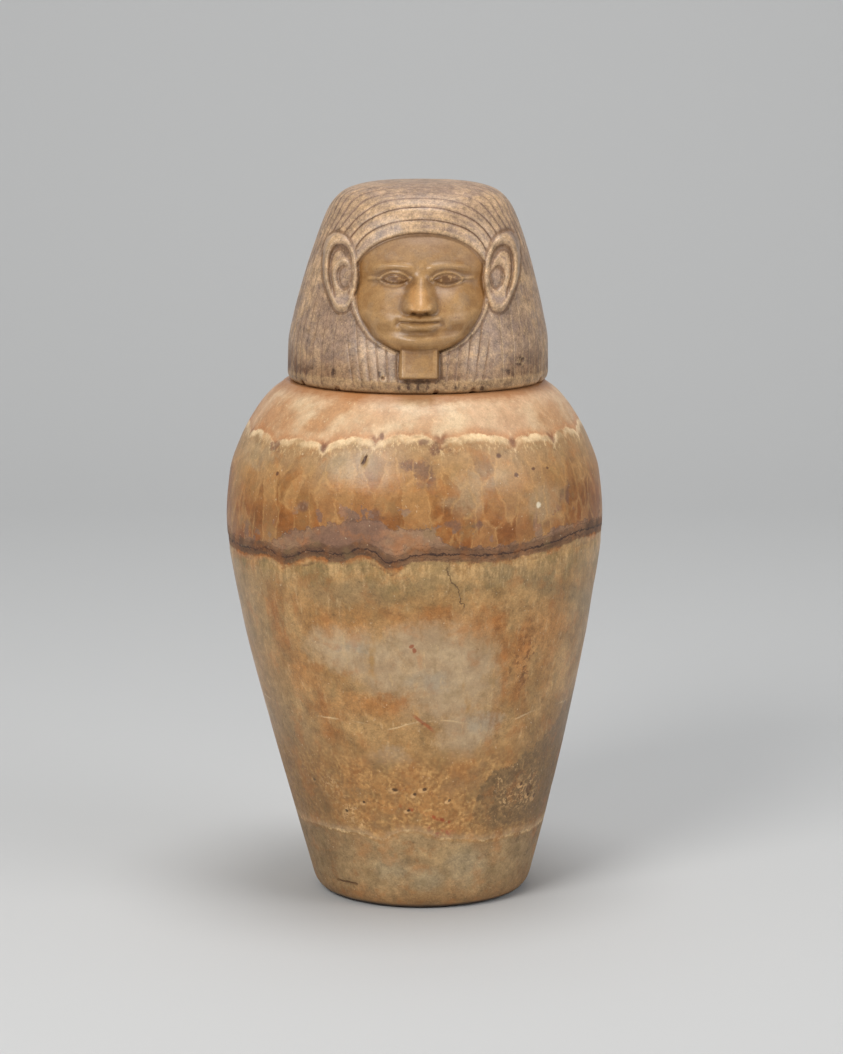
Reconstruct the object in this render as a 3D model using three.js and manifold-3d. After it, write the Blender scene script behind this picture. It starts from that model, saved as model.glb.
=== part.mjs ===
// Canopic jar of banded calcite: a hollow vessel and a lift-off lid carved as a head in a full wig.
// Millimetres, +Z up. The face looks along -Y and the ground is z = 0, under the belly's middle.
import * as THREE from 'three';
import { mergeVertices } from 'three/addons/utils/BufferGeometryUtils.js';
import Module from 'manifold-3d';

const wasm = await Module();
wasm.setup();

// Vessel, outside.
const BELLY_RADIUS = 95.2;
const BELLY_HEIGHT = 194;
const SHOULDER_RADIUS = 88;
const SHOULDER_HEIGHT = 232;
const RIM_RADIUS = 66;
const RIM_HEIGHT = 262;
const RIM_EDGE = 2.5;
const WAIST_RADIUS = 78.2;
const WAIST_HEIGHT = 96;
const FOOT_RADIUS = 55.8;
const FOOT_HEIGHT = 8;
const GROUND_RADIUS = 47;
const FOOT_SHIFT = 3.7;
const VESSEL_SIDES = 40;

// Vessel, inside.
const MOUTH_RADIUS = 47;
const MOUTH_EDGE = 1.2;
const NECK_DEPTH = 22;
const BELLY_WALL = 18.2;
const WAIST_WALL = 16.2;
const FOOT_WALL = 15.5;
const FLOOR_THICKNESS = 24;
const FLOOR_EDGE = 9;

// Lid and the plug under it.
const LID_RADIUS = 65.6;
const LID_HEIGHT = 100;
const LID_SHIFT = 1.7;
const LID_LEAN = 1.6;
const TENON_CLEARANCE = 2.2;
const TENON_LENGTH = 14;
const TENON_EDGE = 2.5;
const TENON_SIDES = 36;

// The head is carved in figure units: the figure is 100 tall and its lower edge has this radius.
const FIGURE_HEIGHT = 100;
const FIGURE_RADIUS = 65.6;
const LOWER_EDGE = 3.4;
const FRONT_STEP = 2.2;
const FRONT_ROWS = 28;
const HAIRLINE = 77;
const CHIN = 23;
const FACE_MIDDLE_X = 0.6;
const FACE_HALF_WIDTH = 32.5;
const HAIR_STEP = 1.9;
const EYE_SPREAD = 12.8;
const EYE_LEVEL = 54.8;
const NOSE_LIFT = 9.5;
const EAR_SPREAD = 39.5;
const EAR_LEVEL = 57;
const EAR_HALF_WIDTH = 8.2;
const EAR_HALF_HEIGHT = 18;
const EAR_PLATE = 44;
const EAR_HOLLOW = 3.4;
const EAR_ROOT = 14;
const EAR_SIDES = 22;
const BEARD_HALF_WIDTH = 9;
const BEARD_BOTTOM = 8.5;
const BEARD_LIFT = 7;
const BEARD_ROOT = 5;
const BEARD_SIDES = 20;

const clamp = (value, low, high) => Math.min(high, Math.max(low, value));

const ease = (low, high, value) => {
  const t = clamp((value - low) / (high - low), 0, 1);
  return t * t * (3 - 2 * t);
};

const mix = (a, b, t) => a + (b - a) * t;

const bell = (x, width) => Math.exp(-(x * x) / (width * width));

// Monotone curve through a few [height, value] stations.
function curve(stations) {
  const count = stations.length;
  const slopes = [];
  for (let i = 0; i < count - 1; i += 1) {
    const [z0, v0] = stations[i];
    const [z1, v1] = stations[i + 1];
    slopes.push((v1 - v0) / (z1 - z0));
  }
  const tangents = [slopes[0]];
  for (let i = 1; i < count - 1; i += 1) {
    const before = slopes[i - 1];
    const after = slopes[i];
    tangents.push(before * after <= 0 ? 0 : (2 * before * after) / (before + after));
  }
  tangents.push(slopes[count - 2]);
  return (z) => {
    if (z <= stations[0][0]) {
      return stations[0][1];
    }
    if (z >= stations[count - 1][0]) {
      return stations[count - 1][1];
    }
    let i = 0;
    while (z > stations[i + 1][0]) {
      i += 1;
    }
    const [z0, v0] = stations[i];
    const [z1, v1] = stations[i + 1];
    const h = z1 - z0;
    const t = (z - z0) / h;
    const t2 = t * t;
    const t3 = t2 * t;
    const first = (2 * t3 - 3 * t2 + 1) * v0 + (t3 - 2 * t2 + t) * h * tangents[i];
    const second = (-2 * t3 + 3 * t2) * v1 + (t3 - t2) * h * tangents[i + 1];
    return first + second;
  };
}

// Closed skin over rings of points with one point at each end, split along the shorter diagonals.
function skin(start, rings, end) {
  const columns = rings[0].length;
  const positions = [...start];
  for (const ring of rings) {
    for (const point of ring) {
      positions.push(...point);
    }
  }
  positions.push(...end);
  const index = [];
  const at = (row, column) => 1 + row * columns + (column % columns);
  const last = 1 + rings.length * columns;
  const span = (i, j) => Math.hypot(
    positions[3 * i] - positions[3 * j],
    positions[3 * i + 1] - positions[3 * j + 1],
    positions[3 * i + 2] - positions[3 * j + 2],
  );
  for (let column = 0; column < columns; column += 1) {
    index.push(0, at(0, column + 1), at(0, column));
    index.push(last, at(rings.length - 1, column), at(rings.length - 1, column + 1));
    for (let row = 0; row < rings.length - 1; row += 1) {
      const a = at(row, column);
      const b = at(row, column + 1);
      const c = at(row + 1, column + 1);
      const d = at(row + 1, column);
      if (span(a, c) <= span(b, d)) {
        index.push(a, b, c, a, c, d);
      } else {
        index.push(a, b, d, b, c, d);
      }
    }
  }
  const geometry = new THREE.BufferGeometry();
  geometry.setAttribute('position', new THREE.Float32BufferAttribute(positions, 3));
  geometry.setIndex(index);
  return geometry;
}

function toSolid(geometry) {
  const plain = new THREE.BufferGeometry();
  plain.setAttribute('position', geometry.getAttribute('position'));
  plain.setIndex(geometry.getIndex());
  const merged = mergeVertices(plain, 1e-4);
  return new wasm.Manifold(new wasm.Mesh({
    numProp: 3,
    vertProperties: new Float32Array(merged.getAttribute('position').array),
    triVerts: new Uint32Array(merged.getIndex().array),
  }));
}

function toMesh(solid, name, colour, roughness) {
  const result = solid.getMesh();
  const geometry = new THREE.BufferGeometry();
  geometry.setAttribute('position', new THREE.BufferAttribute(result.vertProperties, 3));
  geometry.setIndex(new THREE.BufferAttribute(result.triVerts, 1));
  geometry.computeVertexNormals();
  const material = new THREE.MeshStandardMaterial({ color: colour, roughness, metalness: 0 });
  const mesh = new THREE.Mesh(geometry, material);
  mesh.name = name;
  return mesh;
}

// The vessel's upright line wanders: the foot sits a little to the right of the belly.
const vesselShift = (z) => FOOT_SHIFT * (1 - ease(0, BELLY_HEIGHT, z));

const rimStart = RIM_HEIGHT - RIM_EDGE;
const rimStartRadius = RIM_RADIUS + 2;

const vesselProfile = curve([
  [FOOT_HEIGHT, FOOT_RADIUS],
  [mix(FOOT_HEIGHT, WAIST_HEIGHT, 0.364), mix(FOOT_RADIUS, WAIST_RADIUS, 0.38)],
  [WAIST_HEIGHT, WAIST_RADIUS],
  [mix(WAIST_HEIGHT, BELLY_HEIGHT, 0.49), mix(WAIST_RADIUS, BELLY_RADIUS, 0.61)],
  [BELLY_HEIGHT, BELLY_RADIUS],
  [mix(BELLY_HEIGHT, SHOULDER_HEIGHT, 0.58), mix(BELLY_RADIUS, SHOULDER_RADIUS, 0.26)],
  [SHOULDER_HEIGHT, SHOULDER_RADIUS],
  [mix(SHOULDER_HEIGHT, rimStart, 0.58), mix(SHOULDER_RADIUS, rimStartRadius, 0.44)],
  [mix(SHOULDER_HEIGHT, rimStart, 0.91), mix(SHOULDER_RADIUS, rimStartRadius, 0.825)],
  [rimStart, rimStartRadius],
]);

const neckBottom = RIM_HEIGHT - NECK_DEPTH;
const cavityStart = FLOOR_THICKNESS + FLOOR_EDGE;
const cavityStartRadius = vesselProfile(cavityStart) - FOOT_WALL;
const cavityBelly = BELLY_RADIUS - BELLY_WALL;

const cavityProfile = curve([
  [cavityStart, cavityStartRadius],
  [WAIST_HEIGHT, WAIST_RADIUS - WAIST_WALL],
  [BELLY_HEIGHT, cavityBelly],
  [mix(BELLY_HEIGHT, neckBottom, 0.6), mix(cavityBelly, MOUTH_RADIUS, 0.2)],
  [neckBottom, MOUTH_RADIUS],
]);

function turnedRings(pairs, sides, shift) {
  return pairs.map(([radius, z]) => {
    const ring = [];
    for (let i = 0; i < sides; i += 1) {
      const angle = (2 * Math.PI * i) / sides;
      ring.push([shift(z) + radius * Math.cos(angle), radius * Math.sin(angle), z]);
    }
    return ring;
  });
}

// Levels from one height up or down to another, the first left out.
function levels(from, to, count) {
  const list = [];
  for (let i = 1; i <= count; i += 1) {
    list.push(mix(from, to, i / count));
  }
  return list;
}

const footRise = FOOT_RADIUS - GROUND_RADIUS;
const vesselPairs = [
  [GROUND_RADIUS, 0],
  [GROUND_RADIUS + 0.52 * footRise, 0.16 * FOOT_HEIGHT],
  [GROUND_RADIUS + 0.82 * footRise, 0.5 * FOOT_HEIGHT],
  [FOOT_RADIUS, FOOT_HEIGHT],
];
const outerLevels = [
  ...levels(FOOT_HEIGHT, WAIST_HEIGHT, 4),
  ...levels(WAIST_HEIGHT, BELLY_HEIGHT, 5),
  ...levels(BELLY_HEIGHT, SHOULDER_HEIGHT, 4),
  ...levels(SHOULDER_HEIGHT, rimStart, 4),
];
for (const z of outerLevels) {
  vesselPairs.push([vesselProfile(z), z]);
}
vesselPairs.push([RIM_RADIUS, RIM_HEIGHT - 0.3 * RIM_EDGE]);
vesselPairs.push([RIM_RADIUS - 0.6 * RIM_EDGE, RIM_HEIGHT]);
vesselPairs.push([MOUTH_RADIUS + MOUTH_EDGE, RIM_HEIGHT]);
vesselPairs.push([MOUTH_RADIUS, RIM_HEIGHT - MOUTH_EDGE]);
const innerLevels = [
  neckBottom,
  ...levels(neckBottom, BELLY_HEIGHT, 3),
  ...levels(BELLY_HEIGHT, cavityStart, 4),
];
for (const z of innerLevels) {
  vesselPairs.push([cavityProfile(z), z]);
}
vesselPairs.push([cavityStartRadius - 0.33 * FLOOR_EDGE, FLOOR_THICKNESS + 0.33 * FLOOR_EDGE]);
vesselPairs.push([cavityStartRadius - FLOOR_EDGE, FLOOR_THICKNESS]);
const vesselSkin = skin(
  [FOOT_SHIFT, 0, 0],
  turnedRings(vesselPairs, VESSEL_SIDES, vesselShift),
  [vesselShift(FLOOR_THICKNESS), 0, FLOOR_THICKNESS],
);

// Half width of the wig from its lower edge up to the flat crown, in figure units.
const wigWidth = curve([
  [6, FIGURE_RADIUS], [18, 65.4], [34, 62.6], [50, 58.6], [66, 53.9], [82, 48.2],
  [88, 45.2], [92, 42], [95, 38.3], [97.5, 32], [99, 24], [99.8, 12],
]);

const wigFront = curve([
  [6, FIGURE_RADIUS], [18, 61.8], [28, 57.8], [48, 51.2], [68, 46], [76, 43.8],
  [83, 41.2], [88, 38.4], [92, 34.6], [95, 30], [97.5, 24], [99, 17], [99.8, 8.5],
]);

const wigBack = curve([
  [6, FIGURE_RADIUS], [18, 65.4], [38, 63.2], [58, 58.8], [73, 53.6], [83, 48.4],
  [90, 42.6], [95, 35], [97.5, 28.5], [99, 21], [99.8, 10],
]);

// The wig is round at its lower edge and a little squarer at the level of the ears.
const wigPower = (h) => 2 + 0.2 * ease(13, 58, h);

const faceMiddle = curve([
  [14, 60], [19, 63], [CHIN, 65.4], [27, 66.6], [32, 65.4], [35, 65.4], [38, 64.4],
  [42, 61.6], [48, 57.4], [54, 54.2], [59, 53], [65, 50.2], [71, 46.2],
  [HAIRLINE, 43.5 - HAIR_STEP], [83, 38.5],
]);

const faceWidth = curve([
  [15, -6], [18.5, 5], [CHIN, 16.5], [28, 23], [35, 28], [43, 31.3],
  [53, FACE_HALF_WIDTH], [60, FACE_HALF_WIDTH],
]);

const faceTurn = curve([[21, 5], [28, 9], [35, 12.5], [43, 15.2], [53, 16], [68, 14]]);

// How far a point lies inside the opening of the wig, negative outside.
function insideFace(u, h) {
  const archBase = 56;
  if (h > archBase) {
    const rise = HAIRLINE - archBase;
    const radius = Math.hypot(u / FACE_HALF_WIDTH, (h - archBase) / rise);
    return (1 - radius) * rise;
  }
  return faceWidth(h) - Math.abs(u);
}

function eyes(side, h) {
  const across = side - EYE_SPREAD;
  const up = h - EYE_LEVEL;
  const socket = -2.7 * bell(across, 8.5) * bell(up, 5);
  const reach = Math.hypot(across / 6.8, up / 3.1);
  const ball = reach < 1 ? 1.9 * Math.sqrt(1 - reach * reach) : 0;
  const lids = 0.8 * bell(reach - 1.25, 0.28);
  return socket + ball + lids;
}

function nose(u, side, h) {
  const along = (1 - ease(43.5, 60, h)) * ease(38.9, 42.3, h);
  const reach = mix(6.2, 3.2, ease(43, 57, h));
  const ridge = NOSE_LIFT * along * Math.exp(-Math.pow(side / reach, 2.3));
  const wings = 3.4 * bell(side - 5.8, 2.5) * bell(h - 43, 2.6);
  const root = -1.2 * bell(side - 7, 3) * bell(h - 54, 4);
  return ridge + wings + root;
}

function mouth(side, h) {
  const upper = 1.6 * bell(h - 37.2, 1.8) * (1 - ease(4, 10, side));
  const lower = 1.9 * bell(h - 32.9, 2) * (1 - ease(3.5, 9, side));
  const seam = -1.4 * bell(h - 35.2, 1) * (1 - ease(8, 10.5, side));
  const corner = -0.9 * bell(side - 10.8, 2.2) * bell(h - 35, 2.2);
  return upper + lower + seam + corner;
}

function faceRelief(u, h) {
  const side = Math.abs(u);
  const span = h > 60 ? FACE_HALF_WIDTH : Math.max(faceWidth(h), 1);
  const turn = Math.pow(side / span, 2.4) * faceTurn(h);
  const brow = 0.9 * bell(h - 61.6 + 0.012 * (side - 12) ** 2, 2.2) * ease(2, 6, side)
    * (1 - ease(20, 25, side));
  const cheek = 1.7 * bell(side - 18.5, 8) * bell(h - 45.5, 7);
  const chin = 1.3 * bell(side, 8.5) * bell(h - 26.4, 3.4);
  const lipHollow = -1.2 * bell(side, 7) * bell(h - 29.6, 1.9);
  const jawEdge = -2.4 * (1 - ease(0, 5, insideFace(u, h))) * (1 - ease(33, 46, h));
  return faceMiddle(h) - turn + brow + cheek + chin + lipHollow + jawEdge
    + eyes(side, h) + nose(u, side, h) + mouth(side, h);
}

function frontDepth(x, h) {
  const u = x - FACE_MIDDLE_X;
  const power = wigPower(h);
  const share = clamp(Math.abs(x) / wigWidth(h), 0, 1);
  const wig = wigFront(h) * Math.pow(1 - Math.pow(share, power), 1 / power);
  const inside = insideFace(u, h);
  const face = inside > -2 ? faceRelief(u, h) : wig;
  return mix(wig, face, ease(-2, 1.6, inside));
}

// Columns run evenly over the face and close up toward the sides.
function lidColumns() {
  const columns = [];
  const even = 0.62;
  const faceCount = 2 * Math.round((even * FIGURE_RADIUS) / FRONT_STEP / 1.1);
  const edge = Math.asin(even);
  const sideCount = 6;
  const backCount = 18;
  for (let i = 0; i < sideCount; i += 1) {
    const angle = mix(-Math.PI / 2, -edge, i / sideCount);
    columns.push({ share: Math.sin(angle), front: true });
  }
  for (let i = 0; i <= faceCount; i += 1) {
    columns.push({ share: mix(-even, even, i / faceCount), front: true });
  }
  for (let i = 1; i <= sideCount; i += 1) {
    const angle = mix(edge, Math.PI / 2, i / sideCount);
    columns.push({ share: Math.sin(angle), front: true });
  }
  for (let i = 1; i < backCount; i += 1) {
    const angle = (Math.PI * i) / backCount;
    columns.push({ share: Math.cos(angle), front: false });
  }
  return columns;
}

// Figure units to the lid's place on the rim. The lid leans a little, as the vessel does.
function place([x, y, h]) {
  const across = LID_RADIUS / FIGURE_RADIUS;
  const shift = LID_SHIFT + LID_LEAN * ease(0, FIGURE_HEIGHT, h);
  return [shift + x * across, y * across, RIM_HEIGHT + (h * LID_HEIGHT) / FIGURE_HEIGHT];
}

function lidRing(h, inset, columns) {
  const width = wigWidth(h);
  const power = wigPower(h);
  const shrink = 1 - inset / FIGURE_RADIUS;
  return columns.map(({ share, front }) => {
    const x = share * width;
    const fullness = Math.pow(1 - Math.pow(Math.abs(share), power), 1 / power);
    const y = front ? -frontDepth(x, h) : wigBack(h) * fullness;
    return place([x * shrink, y * shrink, h]);
  });
}

const faceBottom = 19;
const faceTop = 80;
const lidLevels = [
  [0, LOWER_EDGE],
  [0.9, LOWER_EDGE * 0.42],
  [2.6, LOWER_EDGE * 0.1],
  [5, 0],
  ...levels(5, faceBottom, 4).map((h) => [h, 0]),
  ...levels(faceBottom, faceTop, FRONT_ROWS).map((h) => [h, 0]),
  ...[83, 86.4, 89.6, 92.4, 94.8, 96.7, 98.1, 99.1, 99.8].map((h) => [h, 0]),
];
const columns = lidColumns();
const lidSkin = skin(
  place([0, 0, 0]),
  lidLevels.map(([h, inset]) => lidRing(h, inset, columns)),
  place([0, 0, FIGURE_HEIGHT]),
);

// One ear: rings spread from the middle of the hollow to the rim, then turn back into the wig.
function earSkin(hand) {
  const point = (reach, angle, back) => {
    const across = reach * Math.cos(angle);
    const up = reach * Math.sign(Math.sin(angle)) * Math.pow(Math.abs(Math.sin(angle)), 0.85);
    const h = EAR_LEVEL + up * EAR_HALF_HEIGHT;
    const narrow = mix(0.78, 1, ease(EAR_LEVEL - EAR_HALF_HEIGHT, EAR_LEVEL - 2, h));
    const side = EAR_SPREAD + across * EAR_HALF_WIDTH * narrow;
    const plate = EAR_PLATE - 0.42 * (side - EAR_SPREAD + EAR_HALF_WIDTH) - 0.33 * (h - EAR_LEVEL);
    const hollow = -EAR_HOLLOW * (1 - ease(0.45, 0.78, Math.hypot(across + 0.12, up - 0.12)));
    const fold = 1.8 * bell(across - 0.05, 0.22) * bell(up - 0.2, 0.42);
    return place([FACE_MIDDLE_X + hand * side, -(plate + hollow + fold - back), h]);
  };
  const steps = [
    [0.25, 0], [0.45, 0], [0.6, 0], [0.75, 0], [0.94, 0.3], [1, 1.4], [1, EAR_ROOT],
  ];
  const rings = steps.map(([reach, back]) => {
    const ring = [];
    for (let i = 0; i < EAR_SIDES; i += 1) {
      ring.push(point(reach, (2 * Math.PI * i) / EAR_SIDES, back));
    }
    return hand > 0 ? ring.reverse() : ring;
  });
  return skin(point(0, 0, 0), rings, point(0, 0, EAR_ROOT));
}

// The beard is a short squarish stub under the chin, its lower end cut flat.
function beardSkin() {
  const top = CHIN + 2;
  const corner = 0.45;
  const steps = [
    [BEARD_BOTTOM, 1.2],
    [BEARD_BOTTOM + 0.9, 0.2],
    ...levels(BEARD_BOTTOM + 0.9, top, 3).map((h) => [h, 0]),
  ];
  const rings = steps.map(([h, inset]) => {
    const front = wigFront(h) + BEARD_LIFT - 2.5 * ease(BEARD_BOTTOM, top, h) - inset;
    const back = wigFront(h) - BEARD_ROOT;
    const ring = [];
    for (let i = 0; i < BEARD_SIDES; i += 1) {
      const angle = (2 * Math.PI * i) / BEARD_SIDES;
      const cos = Math.sign(Math.cos(angle)) * Math.pow(Math.abs(Math.cos(angle)), corner);
      const sin = Math.sign(Math.sin(angle)) * Math.pow(Math.abs(Math.sin(angle)), corner);
      const away = 0.5 * sin * (front - back);
      const x = FACE_MIDDLE_X + cos * (BEARD_HALF_WIDTH - inset);
      ring.push(place([x, away - 0.5 * (front + back), h]));
    }
    return ring;
  });
  const middle = (h) => place([FACE_MIDDLE_X, -wigFront(h), h]);
  return skin(middle(BEARD_BOTTOM), rings, middle(top));
}

// The plug under the lid drops into the mouth with an even clearance all round.
const tenonRadius = MOUTH_RADIUS - TENON_CLEARANCE;
const tenonBottom = RIM_HEIGHT - TENON_LENGTH;
const tenonProfile = [
  new THREE.Vector2(0, tenonBottom),
  new THREE.Vector2(tenonRadius - TENON_EDGE, tenonBottom),
  new THREE.Vector2(tenonRadius, tenonBottom + TENON_EDGE),
  new THREE.Vector2(tenonRadius, RIM_HEIGHT + 2),
  new THREE.Vector2(0, RIM_HEIGHT + 2),
];
const tenonShape = new THREE.LatheGeometry(tenonProfile, TENON_SIDES);
tenonShape.rotateX(Math.PI / 2);

const jar = toMesh(toSolid(vesselSkin), 'jar', 0xb08a5a, 0.42);
const lidSolid = toSolid(lidSkin)
  .add(toSolid(earSkin(1)))
  .add(toSolid(earSkin(-1)))
  .add(toSolid(beardSkin()))
  .add(toSolid(tenonShape));
const lid = toMesh(lidSolid, 'lid', 0xa38a6c, 0.5);

const canopicJar = new THREE.Group();
canopicJar.name = 'canopic_jar';
canopicJar.add(jar, lid);

export default canopicJar;
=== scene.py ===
import math

import bpy
import numpy as np
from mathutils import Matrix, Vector


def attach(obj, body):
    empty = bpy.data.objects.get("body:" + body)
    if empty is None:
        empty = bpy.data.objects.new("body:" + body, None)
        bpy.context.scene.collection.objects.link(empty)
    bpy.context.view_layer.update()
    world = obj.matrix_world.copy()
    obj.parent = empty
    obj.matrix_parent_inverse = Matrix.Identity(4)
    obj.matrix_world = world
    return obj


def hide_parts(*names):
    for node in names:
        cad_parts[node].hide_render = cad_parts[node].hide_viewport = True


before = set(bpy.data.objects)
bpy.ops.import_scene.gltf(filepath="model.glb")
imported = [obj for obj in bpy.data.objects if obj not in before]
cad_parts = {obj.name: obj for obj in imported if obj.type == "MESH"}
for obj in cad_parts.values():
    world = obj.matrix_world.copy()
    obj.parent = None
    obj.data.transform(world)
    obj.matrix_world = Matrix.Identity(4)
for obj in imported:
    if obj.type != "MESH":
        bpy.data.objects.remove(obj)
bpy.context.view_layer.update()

MM = 0.001

# Camera, light and stage
FOV = math.radians(16.67)
EYE = Vector((0.00355, -1.802, 0.4896))
AIM = Vector((0.00355, 0.0, 0.186))


def make_camera():
    data = bpy.data.cameras.new("camera")
    data.sensor_fit = "VERTICAL"
    data.sensor_height = 24.0
    data.lens = 12.0 / math.tan(FOV / 2)
    data.clip_end = 50.0
    camera = bpy.data.objects.new("camera", data)
    bpy.context.scene.collection.objects.link(camera)
    camera.location = EYE
    camera.rotation_euler = (AIM - EYE).to_track_quat("-Z", "Y").to_euler()
    bpy.context.scene.camera = camera
    bpy.context.scene.view_settings.view_transform = "Standard"


def area_light(name, place, aim, size, power, colour=(1, 1, 1)):
    data = bpy.data.lights.new(name, "AREA")
    data.shape = "DISK"
    data.size = size
    data.energy = power
    data.color = colour
    lamp = bpy.data.objects.new(name, data)
    bpy.context.scene.collection.objects.link(lamp)
    lamp.location = place
    lamp.rotation_euler = (Vector(aim) - Vector(place)).to_track_quat("-Z", "Y").to_euler()


def make_stage():
    world = bpy.data.worlds.new("studio")
    bpy.context.scene.world = world
    world.use_nodes = True
    back = world.node_tree.nodes["Background"]
    back.inputs["Color"].default_value = (0.80, 0.82, 0.84, 1)
    back.inputs["Strength"].default_value = 0.36
    area_light("key", (-0.9, -1.5, 1.35), (0, 0, 0.18), 0.9, 25, (1.0, 0.99, 0.97))
    area_light("fill", (1.6, -1.0, 1.0), (0, 0, 0.2), 1.2, 12.0, (0.99, 0.99, 1.0))
    area_light("top", (0.1, -0.1, 2.0), (0, 0, 0.1), 0.9, 14)
    area_light("backdrop", (0.0, 0.9, 2.3), (0, 2.1, 0.9), 1.4, 9)
    profile = [(-3.0, 0.0), (1.2, 0.0)]
    for i in range(1, 13):
        a = math.radians(90 * i / 12)
        profile.append((1.2 + 0.9 * math.sin(a), 0.9 - 0.9 * math.cos(a)))
    profile.append((2.1, 4.0))
    verts = [(x, y, z) for y, z in profile for x in (-4.0, 4.0)]
    faces = [(2 * i, 2 * i + 1, 2 * i + 3, 2 * i + 2) for i in range(len(profile) - 1)]
    mesh = bpy.data.meshes.new("sweep")
    mesh.from_pydata(verts, [], faces)
    for polygon in mesh.polygons:
        polygon.use_smooth = True
    sweep = bpy.data.objects.new("sweep", mesh)
    bpy.context.scene.collection.objects.link(sweep)
    material = bpy.data.materials.new("sweep_paper")
    material.use_nodes = True
    shader = material.node_tree.nodes["Principled BSDF"]
    shader.inputs["Base Color"].default_value = (0.56, 0.562, 0.56, 1)
    shader.inputs["Roughness"].default_value = 0.85
    mesh.materials.append(material)


# Numbers to shapes
def ease(low, high, value):
    """0 below low, 1 above high, smooth between."""
    t = np.clip((value - low) / (high - low), 0.0, 1.0)
    return t * t * (3 - 2 * t)


def mix(a, b, t):
    return a + (b - a) * t


def bell(x, width):
    return np.exp(-(x * x) / (width * width))


def smax(a, b, soft):
    """The larger of two depths, with their meeting rounded over soft millimetres."""
    h = np.clip(0.5 + 0.5 * (a - b) / soft, 0.0, 1.0)
    return mix(b, a, h) + soft * h * (1 - h)


def curve(stations):
    """A smooth curve through stations of (place, value) that never overshoots them."""
    z = np.array([s[0] for s in stations], float)
    v = np.array([s[1] for s in stations], float)
    slopes = np.diff(v) / np.diff(z)
    tangents = np.empty(len(z))
    tangents[0] = slopes[0]
    tangents[-1] = slopes[-1]
    for i in range(1, len(z) - 1):
        before, after = slopes[i - 1], slopes[i]
        tangents[i] = 0 if before * after <= 0 else 2 * before * after / (before + after)

    def value(x):
        x = np.clip(np.asarray(x, float), z[0], z[-1])
        i = np.clip(np.searchsorted(z, x, side="right") - 1, 0, len(z) - 2)
        h = z[i + 1] - z[i]
        t = (x - z[i]) / h
        t2, t3 = t * t, t * t * t
        return ((2 * t3 - 3 * t2 + 1) * v[i] + (t3 - 2 * t2 + t) * h * tangents[i]
                + (-2 * t3 + 3 * t2) * v[i + 1] + (t3 - t2) * h * tangents[i + 1])

    return value


def lattice(ix, iy, iz, seed):
    n = (ix * 374761393 + iy * 668265263 + iz * 2147483647 + seed * 1274126177) & 0xFFFFFFFF
    n = ((n ^ (n >> 13)) * 1274126177) & 0xFFFFFFFF
    n = (n ^ (n >> 16)) & 0xFFFF
    return n / 32767.5 - 1.0


def noise(points, size, seed):
    """Smooth value noise from -1 to 1 over points in millimetres."""
    p = points / size
    base = np.floor(p).astype(np.int64)
    f = p - base
    f = f * f * (3 - 2 * f)
    total = 0.0
    for dx in (0, 1):
        wx = f[:, 0] if dx else 1 - f[:, 0]
        for dy in (0, 1):
            wy = f[:, 1] if dy else 1 - f[:, 1]
            for dz in (0, 1):
                wz = f[:, 2] if dz else 1 - f[:, 2]
                corner = lattice(base[:, 0] + dx, base[:, 1] + dy, base[:, 2] + dz, seed)
                total = total + wx * wy * wz * corner
    return total


def layered(points, size, seed):
    total, weight, scale = 0.0, 0.0, 1.0
    for i in range(3):
        total = total + scale * noise(points, size / 2 ** i, seed + 17 * i)
        weight += scale
        scale *= 0.5
    return total / weight


def grid_mesh(name, rows, columns, points, start, end, extras):
    """Closed grid of rows of points round an axis, with one point at each end."""
    count = rows * columns
    verts = np.vstack([points.reshape(count, 3), [start], [end]])
    r = np.arange(rows - 1)[:, None]
    c = np.arange(columns)[None, :]
    a = (r * columns + c).ravel()
    b = (r * columns + (c + 1) % columns).ravel()
    quads = np.stack([a, b, b + columns, a + columns], axis=1)
    c = np.arange(columns)
    low = np.stack([np.full(columns, count), (c + 1) % columns, c], axis=1)
    top = (rows - 1) * columns
    high = np.stack([np.full(columns, count + 1), top + c, top + (c + 1) % columns], axis=1)
    loops = np.concatenate([quads.ravel(), low.ravel(), high.ravel()])
    totals = np.concatenate([np.full(len(quads), 4), np.full(2 * columns, 3)])
    starts = np.concatenate([[0], np.cumsum(totals)[:-1]])
    mesh = bpy.data.meshes.new(name)
    mesh.vertices.add(len(verts))
    mesh.vertices.foreach_set("co", (verts * MM).astype(np.float32).ravel())
    mesh.loops.add(len(loops))
    mesh.loops.foreach_set("vertex_index", loops.astype(np.int32))
    mesh.polygons.add(len(totals))
    mesh.polygons.foreach_set("loop_start", starts.astype(np.int32))
    mesh.polygons.foreach_set("loop_total", totals.astype(np.int32))
    mesh.polygons.foreach_set("use_smooth", np.ones(len(totals), bool))
    mesh.update(calc_edges=True)
    mesh.validate()
    for label, values in extras.items():
        layer = mesh.attributes.new(label, "FLOAT", "POINT")
        padded = np.concatenate([values.ravel(), [0.0, 0.0]]).astype(np.float32)
        layer.data.foreach_set("value", padded)
    thing = bpy.data.objects.new(name, mesh)
    bpy.context.scene.collection.objects.link(thing)
    return thing


def grid_normals(points):
    along = np.roll(points, -1, axis=1) - np.roll(points, 1, axis=1)
    up = np.empty_like(points)
    up[1:-1] = points[2:] - points[:-2]
    up[0] = points[1] - points[0]
    up[-1] = points[-1] - points[-2]
    normal = np.cross(along, up)
    return normal / np.maximum(np.linalg.norm(normal, axis=2, keepdims=True), 1e-9)


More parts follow.
